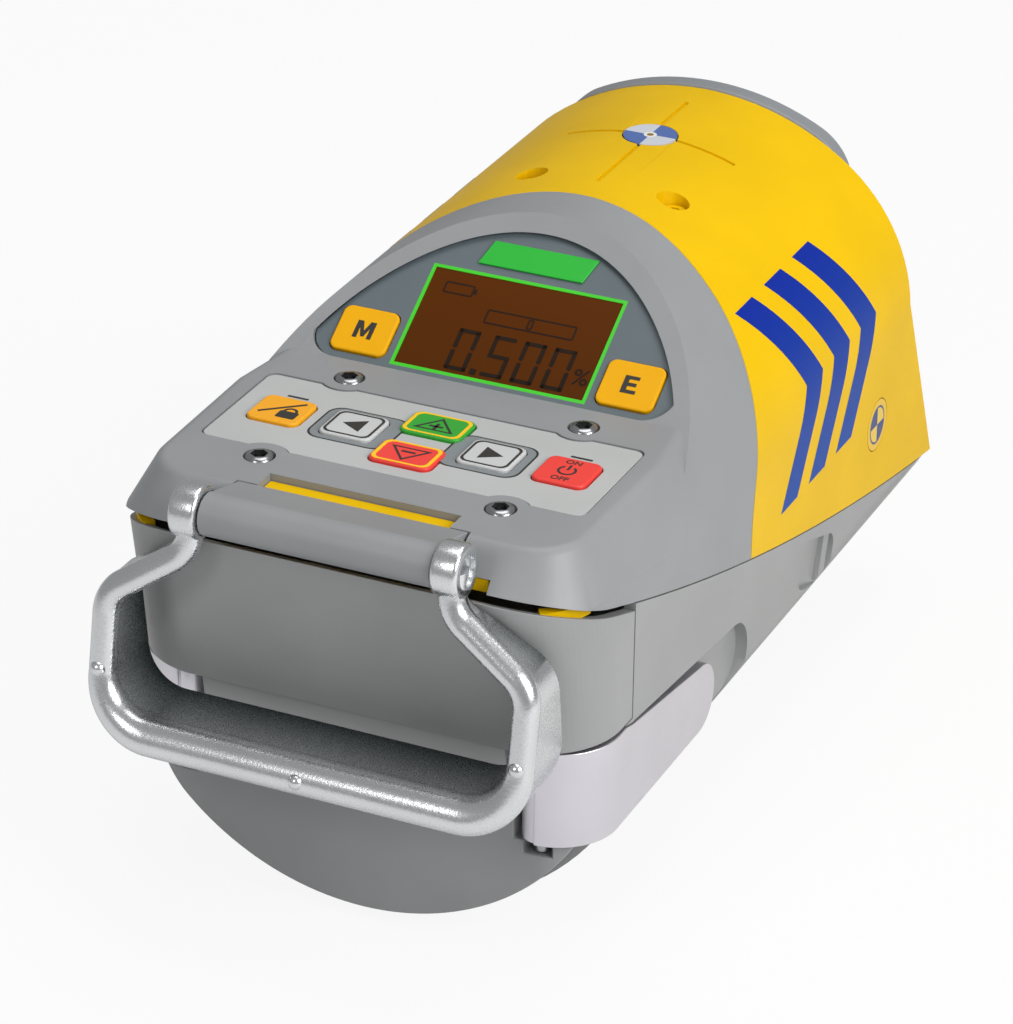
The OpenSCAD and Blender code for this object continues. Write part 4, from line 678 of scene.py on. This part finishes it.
class PIPELASER_OT_keys(bpy.types.Operator):
    """Rounds the keys and prints their legends"""

    bl_idname = "pipe_laser.keys"
    bl_label = "Keys and legends"

    def execute(self, context):
        sizes = context.scene.pipe_laser_sizes
        ink, letter = sizes.ink / MM, sizes.letter / MM
        for key in KEYS:
            softened(key, sizes.key_edge, segments=3)
        for key, outline, x in (("menu_key", LETTER_M, -MENU_X), ("enter_key", LETTER_E, MENU_X)):
            loop = (np.array(outline) - 0.5) * letter + (x, MENU_S)
            self.legend(key, "letter", [plate(loop, on_face, PANEL_KEY_H, ink)])
        self.arrow("left_key", -1, ink)
        self.arrow("right_key", 1, ink)
        self.sign("plus_key", 1, ink)
        self.sign("minus_key", -1, ink)
        self.power(ink)
        self.lock(ink)
        return {"FINISHED"}

    def legend(self, key, what, shells, finish_name="dark legend ink"):
        """One printed mark that moves with its key."""
        piece(f"{key}_{what}", shells, BODY_OF[key], finish_name)

    def arrow(self, key, side, ink):
        """Arrow head: a triangle that points to a side, inside an outline."""
        tip, tail, half = 3.0, 2.4, 3.1
        box, line = (12.2, 11.6, 2.0), 0.9
        x = side * ARROW_X
        back = x - side * tail
        head = np.array([(x + side * tip, ROW_Y), (back, ROW_Y + half), (back, ROW_Y - half)])
        outline = box_loop(x, ROW_Y, *box)
        self.legend(key, "arrow", [
            plate(head, on_deck, KEY_H, ink), rim(outline, grown(outline, line), on_deck, KEY_H, ink)])

    def sign(self, key, side, ink):
        """Plus or minus of straight bars in an open triangle, inside an outline."""
        wide, foot, top, line = 5.2, 2.9, 3.7, 0.78
        drop, bar, level, upright, corner = 0.8, 0.8, 3.6, 3.2, 0.1
        box, box_line = (15.0, 10.4, 2.0), 0.88
        y = ROW_Y + side * SIGN_DY
        outline = box_loop(0, y, *box)
        frame_line = rim(outline, grown(outline, box_line), on_deck, KEY_H, ink)
        self.legend(key, "outline", [frame_line], "yellow outline print")
        hill = np.array([(-wide, y - side * foot), (0, y + side * top), (wide, y - side * foot)])
        bars = [box_loop(0, y - side * drop, level, bar, corner, 2)]
        if side > 0:
            bars.append(box_loop(0, y - side * drop, bar, upright, corner, 2))
        self.legend(key, "sign", [rim(hill, grown(hill, line), on_deck, KEY_H, ink)]
                    + [plate(loop, on_deck, KEY_H, ink) for loop in bars])

    def power(self, ink):
        """Power sign: an open ring with a bar in its gap, between the words for both states."""
        inner, outer, start, stop = 1.75, 2.35, 125, 415
        bar_dy, bar_width, bar_length, corner = 1.5, 0.6, 2.6, 0.1
        on_dy, off_dy, size, bold = 4.2, -4.4, 2.6, 0.04
        x, y = LOCK_X, ROW_Y
        self.legend("power_key", "legend", [
            plate(arc_band(x, y, inner, outer, start, stop), on_deck, KEY_H, ink),
            plate(box_loop(x, y + bar_dy, bar_width, bar_length, corner, 2), on_deck, KEY_H, ink),
            lettering("ON", x, y + on_dy, size, on_deck, KEY_H, ink, bold),
            lettering("OFF", x, y + off_dy, size, on_deck, KEY_H, ink, bold)])

    def lock(self, ink):
        """Padlock sign: a rounded body under half a ring, beside a slash."""
        shift, body_dy, width, length, corner = 2.6, -2.4, 5.0, 3.6, 0.5
        bow_dy, inner, outer = -0.6, 1.2, 1.9
        x, y = shift - LOCK_X, ROW_Y
        slash = np.array([(-7.6, -2.9), (-7.1, -3.5), (2.2, 4.3), (1.7, 4.9)]) + (x, y)
        self.legend("lock_key", "legend", [
            plate(box_loop(x, y + body_dy, width, length, corner, 3), on_deck, KEY_H, ink),
            plate(arc_band(x, y + bow_dy, inner, outer, 0, 180), on_deck, KEY_H, ink),
            plate(slash, on_deck, KEY_H, ink)])


class PIPELASER_OT_handle(bpy.types.Operator):
    """Casts the carry handle with its hubs and pips"""

    bl_idname = "pipe_laser.handle"
    bl_label = "Carry handle"

    def execute(self, context):
        pip_drop, pip_sink, sharp = 42.0, 1, 38
        shells = [self.strap()]
        for side in (1, -1):
            shells.append(self.hub(side))
            shells.append(self.pip(side * LEG_X, pip_drop, pip_sink - LEG_T))
        shells.append(self.pip(0, GRIP_DROP, pip_sink - GRIP_T))
        made = piece("carry_handle_casting", shells, "handle", "bright plated handle casting",
                     ("carry_handle",), sharp)
        # Painted shade on the inner web of the loop.
        self.painted_shade(made.data)
        return {"FINISHED"}

    def painted_shade(self, mesh):
        """Painted shade value of each point: grows from the bead to the rear edge on the inner side of the
        loop.
        """
        top, start, span = 12.0, 1.0, 10.0
        x, y, z = (points_of(mesh) - (0, FRONT, 0)).T / MM
        drop = (HINGE_Z - z) / np.cos(HANG)
        depth = y - HINGE_Y + drop * np.sin(HANG)
        inner = (np.abs(x) < LEG_X) & (drop < GRIP_DROP) & (drop > top)
        values = np.where(inner, np.clip((depth - start) / span, 0, 1), 0.0)
        # The painted shade value is kept on the points for the handle's material.
        mesh.attributes.new("painted_shade", "FLOAT", "POINT").data.foreach_set("value", values.astype(np.float32))

    def path(self):
        """Middle line of the strap with its outward normals: neck, bend out, slant, bend back, leg, corner
        and grip, then the same mirrored."""
        turn, bend, neck, steps = 55, 9.0, 5.0, 8
        run = LEG_X - NECK_X - 2 * bend * (1 - np.cos(np.radians(turn)))
        leg = neck + 2 * bend * np.sin(np.radians(turn)) + run / np.tan(np.radians(turn))

        def arc(x, s, r, a0, a1, side, n=18):
            """Points of a bend with their normals, from one angle to another."""
            a = np.radians(np.linspace(a0, a1, n))
            return np.stack([x - side * r * np.cos(a), s + side * r * np.sin(a), np.cos(a), -np.sin(a)], 1)

        knots = [np.array([(NECK_X, 0.0, 1.0, 0.0)]),
                 arc(NECK_X + bend, neck, bend, 0, turn, 1),
                 arc(LEG_X - bend, leg, bend, turn, 0, -1),
                 arc(LEG_X - CORNER_R, CORNER_DROP, CORNER_R, 0, -90, -1, 26),
                 np.array([(0.0, GRIP_DROP, 0.0, 1.0)])]
        runs = [knots[0]]
        for before, after in zip(knots[:-1], knots[1:]):
            share = np.linspace(0, 1, steps)[1:-1, None]
            runs += [before[-1] * (1 - share) + after[0] * share, after]
        half = np.concatenate(runs)
        return np.concatenate([half, (half * (-1, 1, -1, 1))[-2::-1]]), leg

    def strap(self):
        """Strap carried along the middle line: half a circle in front, and behind it a slimmer web with
        rounded rear edges. Places across and behind the line are shares of its half thickness."""
        neck_end, depths, web, edge = 8, (3, 13, 17.5), 0.86, 1.2
        line, leg = self.path()
        x, s, nx, ns = (column[:, None] for column in line.T)
        t = np.interp(s, (CORNER_DROP, GRIP_DROP), (LEG_T, GRIP_T))
        d = np.interp(s, (neck_end, leg, CORNER_DROP), depths)
        round_front = np.linspace(0, np.pi, 21)[None, :]
        side_a, side_b = np.array([-0.96, -0.88, -web]), np.array([0.2, 0.42, 0.52])
        rear = np.radians(np.array([180.0, 150, 120, 90]))
        rear_a = -(web * t - edge) + edge * np.cos(rear)
        rear_b = d - edge + edge * np.sin(rear)
        a = np.concatenate([t * np.cos(round_front), t * side_a, rear_a,
                            -rear_a[:, ::-1], -t * side_a[::-1]], 1)
        b = np.concatenate([-t * np.sin(round_front), t * side_b, rear_b,
                            rear_b[:, ::-1], t * side_b[::-1]], 1)
        return skin(hung(x + a * nx, s + a * ns, b))

    def hub(self, side):
        """Hub turned about the hinge line: a ring with a bore, rounded rims and a shallow outer recess."""
        x0, x1, big, small = 29.6, 36.4, 6.6, 1.1
        cup, draft, deep, bore = 4.1, 0.3, 1.5, 2.55
        bend = np.radians(np.linspace(0, 90, 6))
        fall, rise = small * np.cos(bend), small * np.sin(bend)
        along = np.concatenate([[x0], x0 + small - fall, x1 - small + rise, [x1, x1 - deep, x1 - deep]])
        radius = np.concatenate([[bore], big - small + rise, big - small + fall, [cup, cup - draft, bore]])
        turn = np.linspace(0, 2 * np.pi, 72, endpoint=False)[:, None]
        return skin(world(side * along[None, :] + 0 * turn, HINGE_Y + radius * np.cos(turn),
                          HINGE_Z + radius * np.sin(turn)), ends=False)

    def pip(self, x, s, b):
        """Small ball: rings of latitude that close at both poles."""
        r, pole = 2.0, 89.9
        lat = np.radians(np.linspace(-pole, pole, 15))[:, None]
        lon = np.linspace(0, 2 * np.pi, 24, endpoint=False)[None, :]
        ball = np.stack([np.cos(lat) * np.cos(lon), np.cos(lat) * np.sin(lon), np.sin(lat) + 0 * lon], -1)
        return skin(hung(x, s, b) + r * MM * ball)


class PIPELASER_OT_screws(bpy.types.Operator):
    """Turns the domed heads of the bezel screws and puts dark plates of painted shade in the sockets of all
    screws
    """

    bl_idname = "pipe_laser.screws"
    bl_label = "Bezel screws"

    def execute(self, context):
        socket_r, socket_h, thick, slot, sharp = 1.95, -0.9, 0.1, (3.0, 1.6, 0.7), 40
        heads, shade_plates = [], []
        turn = np.radians(np.arange(6) * 60)
        hexagon = np.stack([socket_r * np.cos(turn), socket_r * np.sin(turn)], 1)
        for x in (-BEZEL_SCREW_X, BEZEL_SCREW_X):
            for y in BEZEL_SCREW_YS:
                heads.append(self.head(x, y))
                # A dark plate deep in each hex socket: painted shade.
                shade_plates.append(plate(hexagon + (x, y), on_deck, socket_h, thick))
        piece("bezel_screw_heads", heads, "housing", "zinc plated steel",
              ("bezel_screws",), sharp)
        crown_h = float(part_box("crown_screws")[1][2]) / MM - DECK_Z
        # A dark slot plate on each yellow crown screw: painted shade in its recess.
        for x in (-CROWN_SCREW_X, CROWN_SCREW_X):
            shade_plates.append(plate(box_loop(x, CROWN_SCREW_Y, *slot), on_deck, crown_h, thick))
        piece("painted_socket_shade", shade_plates, "housing", "painted socket shade")
        return {"FINISHED"}

    def head(self, x, y):
        """Button head: a dome profile between a hexagon inside and a circle outside, turned about the
        screw line, then down the outside and back under the hexagon."""
        flat, outer, n = 1.85, 3.55, 48
        turn = np.linspace(0, 2 * np.pi, n, endpoint=False)[:, None]
        hexagon = flat / np.cos((turn + np.pi / 6) % (np.pi / 3) - np.pi / 6)
        share = np.array([0.0, 0.25, 0.55, 0.8, 1.0])
        radius = np.concatenate([hexagon + (outer - hexagon) * share, np.full((n, 1), outer), hexagon], 1)
        height = np.array([0.62, 0.6, 0.42, 0.12, -0.4, -2.2, -2.2])[None, :] + 0 * turn
        return skin(on_deck(x + radius * np.cos(turn), y + radius * np.sin(turn), height), ends=False)


class PIPELASER_OT_prints(bpy.types.Operator):
    """Prints the keypad plate, the display reading and the side walls"""

    bl_idname = "pipe_laser.prints"
    bl_label = "Prints"

    def execute(self, context):
        sizes = context.scene.pipe_laser_sizes
        ink = sizes.ink / MM
        self.keypad(ink)
        piece("display_reading", self.reading(ink), "housing", "dark display bars")
        self.tabs()
        first, pitch, width = 114, 19, sizes.chevron_width / MM
        for side, name in ((1, "right"), (-1, "left")):
            bands = [self.chevron(side, first + pitch * i, width, ink) for i in range(sizes.chevrons)]
            piece(f"{name}_wall_chevrons", bands, "housing", "blue wall print")
        return {"FINISHED"}

    def keypad(self, ink):
        """Keypad plate: a grey field with a dark outline round each arrow key, a dash over the outer keys."""
        field, hole, dash = (20.0, 16.4, 3.6), (14.3, 13.7, 2.4), (5.6, 0.8, 0.3, 3)
        shift, line, dash_dy = 0.9, 1.05, 8.6
        backing, outlines = [], []
        for side in (-1, 1):
            outer = box_loop(side * (ARROW_X - shift), ROW_Y, *field)
            inner = box_loop(side * ARROW_X, ROW_Y, *hole)
            mark = box_loop(side * LOCK_X, ROW_Y + dash_dy, *dash)
            backing.append(rim(outer, inner, on_deck, PLATE_H, ink))
            outlines.append(rim(grown(outer, line), outer, on_deck, PLATE_H, ink))
            outlines.append(plate(mark, on_deck, PLATE_H, ink))
        piece("keypad_backing_print", backing, "housing", "grey backing print")
        piece("keypad_outline_print", outlines, "housing", "dark legend ink")

    def tabs(self):
        """Two slivers of the yellow shell in the gap under the bezel: bands round the front corners."""
        x, y, inner, outer, foot, high = 41.0, 6.0, 15.0, 17.6, 96.4, 3.2
        shells = [plate(arc_band(side * x, y, inner, outer, *turn), on_deck, foot - DECK_Z, high)
                  for side, turn in ((1, (-58, -14)), (-1, (194, 238)))]
        piece("seam_tabs", shells, "housing", "yellow powder coat")

    def reading(self, ink):
        """Display reading: figures of bars with a point after the first, a percent sign, a level bar with
        its bubble and a battery sign."""
        x, foot, width, height, bar = -12.6, 3.6, 6.4, 12.6, 1.75
        first_step, step, line, bold = 9.6, 8.0, 0.45, 0.05
        point, pole, percent = (-4.6, 4.5, 1.7, 1.7, 0.2), (-12.6, 26.6, 0.8, 1.6, 0.2), (22.4, 8.8, 6.4)
        level, bubble, battery = (4.5, 20.6, 24.0, 4.2), (4.5, 20.6, 1.6, 3.0), (-17.0, 26.6, 8.0, 3.4)
        loops = []
        for place, char in enumerate("0500"):
            loops += digit(char, x, foot, width, height, bar)
            x += step if place else first_step
        loops.append(box_loop(*point, 2))
        shells = [plate(loop, on_face, WINDOW_H, ink) for loop in loops]
        shells.append(lettering("%", *percent, on_face, WINDOW_H, ink, bold))
        for middle, s, wide, high in (level, bubble, battery):
            outer = box_loop(middle, s, wide, high, 0.5, 3)
            inner = box_loop(middle, s, wide - 2 * line, high - 2 * line, 0.2, 3)
            shells.append(rim(outer, inner, on_face, WINDOW_H, ink))
        shells.append(plate(box_loop(*pole, 2), on_face, WINDOW_H, ink))
        return shells

    def chevron(self, side, y0, width, ink):
        """Chevron on a side wall: a band as wide as given whose start runs forward to a point at half
        height."""
        middle, half, slant, sunk = 98, 28, 0.62, -0.02
        s = np.linspace(middle - half, middle + half, 57)[:, None]
        start = y0 + (half - np.abs(s - middle)) * slant
        across = np.linspace(0, 1, 5)[None, :]
        lower, upper = (on_wall(start + across * width, s + 0 * across, h) for h in (sunk, ink))
        rings = np.concatenate([lower, upper[:, ::-1]], 1)
        rings[..., 0] *= side
        return skin(rings)


class PIPELASER_OT_stage(bpy.types.Operator):
    """Sets up the camera, the lamps, the white surround and the floor"""

    bl_idname = "pipe_laser.stage"
    bl_label = "Stage"

    def execute(self, context):
        scene = context.scene
        scene.view_settings.view_transform = "Standard"
        self.camera(scene)
        for name, place, size, watts in LAMPS:
            self.lamp(scene, name, np.array(place), size, watts)
        self.surround(scene)
        self.floor(scene)
        return {"FINISHED"}

    def put(self, scene, name, data, axes, place):
        """Object at a place, turned so that its own axes lie along three directions."""
        turn = np.eye(4)
        turn[:3, :3] = np.transpose(axes)
        turn[:3, 3] = place
        made = bpy.data.objects.new(name, data)
        made.matrix_world = Matrix(turn.tolist())
        scene.collection.objects.link(made)
        return made

    def camera(self, scene):
        """Camera at the photograph's place and angle."""
        data = bpy.data.cameras.new("photo camera")
        data.sensor_fit = "HORIZONTAL"
        data.sensor_width = SENSOR_W
        data.lens = SENSOR_W * FOCAL_PX / PHOTO_W
        place = np.add(CAMERA_PLACE, (0, FRONT, 0))
        scene.camera = self.put(scene, "photo camera", data, CAMERA_AXES, place)

    def lamp(self, scene, name, place, size, watts):
        """Square soft lamp aimed at the middle of the part."""
        data = bpy.data.lights.new(name, "AREA")
        data.size = size
        data.energy = watts
        back = place - (0, 0, LAMP_AIM_Z)
        back = back / np.linalg.norm(back)
        right = np.cross((0, 0, 1), back)
        right = right / np.linalg.norm(right)
        self.put(scene, name, data, (right, np.cross(back, right), back), place)

    def surround(self, scene):
        """World that is white to the eye and through glass, and a soft fill light otherwise."""
        surround = bpy.data.worlds.new("white studio")
        scene.world = surround
        surround.use_nodes = True
        tree = surround.node_tree
        tree.nodes.clear()
        path = add(tree, "ShaderNodeLightPath")
        seen = add(tree, "ShaderNodeMath", {"operation": "MAXIMUM"},
                   {0: path.outputs["Is Camera Ray"], 1: path.outputs["Is Transmission Ray"]})
        white = add(tree, "ShaderNodeBackground", {"Color": (1, 1, 1, 1), "Strength": 1.0})
        fill = add(tree, "ShaderNodeBackground", {"Color": (1, 1, 1, 1), "Strength": FILL})
        mix = add(tree, "ShaderNodeMixShader", {},
                  {0: seen.outputs[0], 1: fill.outputs[0], 2: white.outputs[0]})
        add(tree, "ShaderNodeOutputWorld", {}, {"Surface": mix.outputs[0]})

    def floor(self, scene):
        """Pale floor: a level square, white to the eye but for the shadow that it keeps."""
        mesh = bpy.data.meshes.new("studio floor")
        far = FLOOR_REACH
        corners = [(-far, -far, 0), (far, -far, 0), (far, far, 0), (-far, far, 0)]
        mesh.from_pydata(corners, [], [(0, 1, 2, 3)])
        made = bpy.data.objects.new("studio_floor", mesh)
        scene.collection.objects.link(made)
        # Seamless studio paper: near white, with a soft grey shadow.
        material, tree, _ = blank("pale studio floor")
        path = add(tree, "ShaderNodeLightPath")
        pale = add(tree, "ShaderNodeBsdfDiffuse", {"Color": (FLOOR_GREY, FLOOR_GREY, FLOOR_GREY, 1)})
        white = add(tree, "ShaderNodeEmission", {"Color": (1, 1, 1, 1), "Strength": 1.0})
        share = add(tree, "ShaderNodeMath", {"operation": "MULTIPLY", 1: FLOOR_WHITE},
                    {0: path.outputs["Is Camera Ray"]})
        mix = add(tree, "ShaderNodeMixShader", {},
                  {0: share.outputs[0], 1: pale.outputs[0], 2: white.outputs[0]})
        add(tree, "ShaderNodeOutputMaterial", {}, {"Surface": mix.outputs[0]})
        mesh.materials.append(material)


class PIPELASER_PT_sidebar(bpy.types.Panel):
    """Lists the steps that dress the part"""

    bl_idname = "PIPELASER_PT_sidebar"
    bl_label = "Pipe laser"
    bl_space_type = "VIEW_3D"
    bl_region_type = "UI"
    bl_category = "Pipe laser"

    def draw(self, context):
        for group in (context.scene.pipe_laser_sizes, context.scene.pipe_laser_colours):
            for name in group.__annotations__:
                self.layout.prop(group, name)
        for step in STEPS:
            self.layout.operator(step.bl_idname)


STEPS = (PIPELASER_OT_finishes, PIPELASER_OT_shells, PIPELASER_OT_keys, PIPELASER_OT_handle,
         PIPELASER_OT_screws, PIPELASER_OT_prints, PIPELASER_OT_stage)
CLASSES = (PipeLaserSizes, PipeLaserColours, *STEPS, PIPELASER_PT_sidebar)


def register():
    for cls in CLASSES:
        bpy.utils.register_class(cls)
    bpy.types.Scene.pipe_laser_sizes = bpy.props.PointerProperty(type=PipeLaserSizes)
    bpy.types.Scene.pipe_laser_colours = bpy.props.PointerProperty(type=PipeLaserColours)


def unregister():
    del bpy.types.Scene.pipe_laser_colours
    del bpy.types.Scene.pipe_laser_sizes
    for cls in reversed(CLASSES):
        bpy.utils.unregister_class(cls)


def main():
    """Registers the classes and runs the steps in order."""
    register()
    bpy.ops.pipe_laser.finishes()
    bpy.ops.pipe_laser.shells()
    bpy.ops.pipe_laser.keys()
    bpy.ops.pipe_laser.handle()
    bpy.ops.pipe_laser.screws()
    bpy.ops.pipe_laser.prints()
    bpy.ops.pipe_laser.stage()


if __name__ == "__main__":
    main()
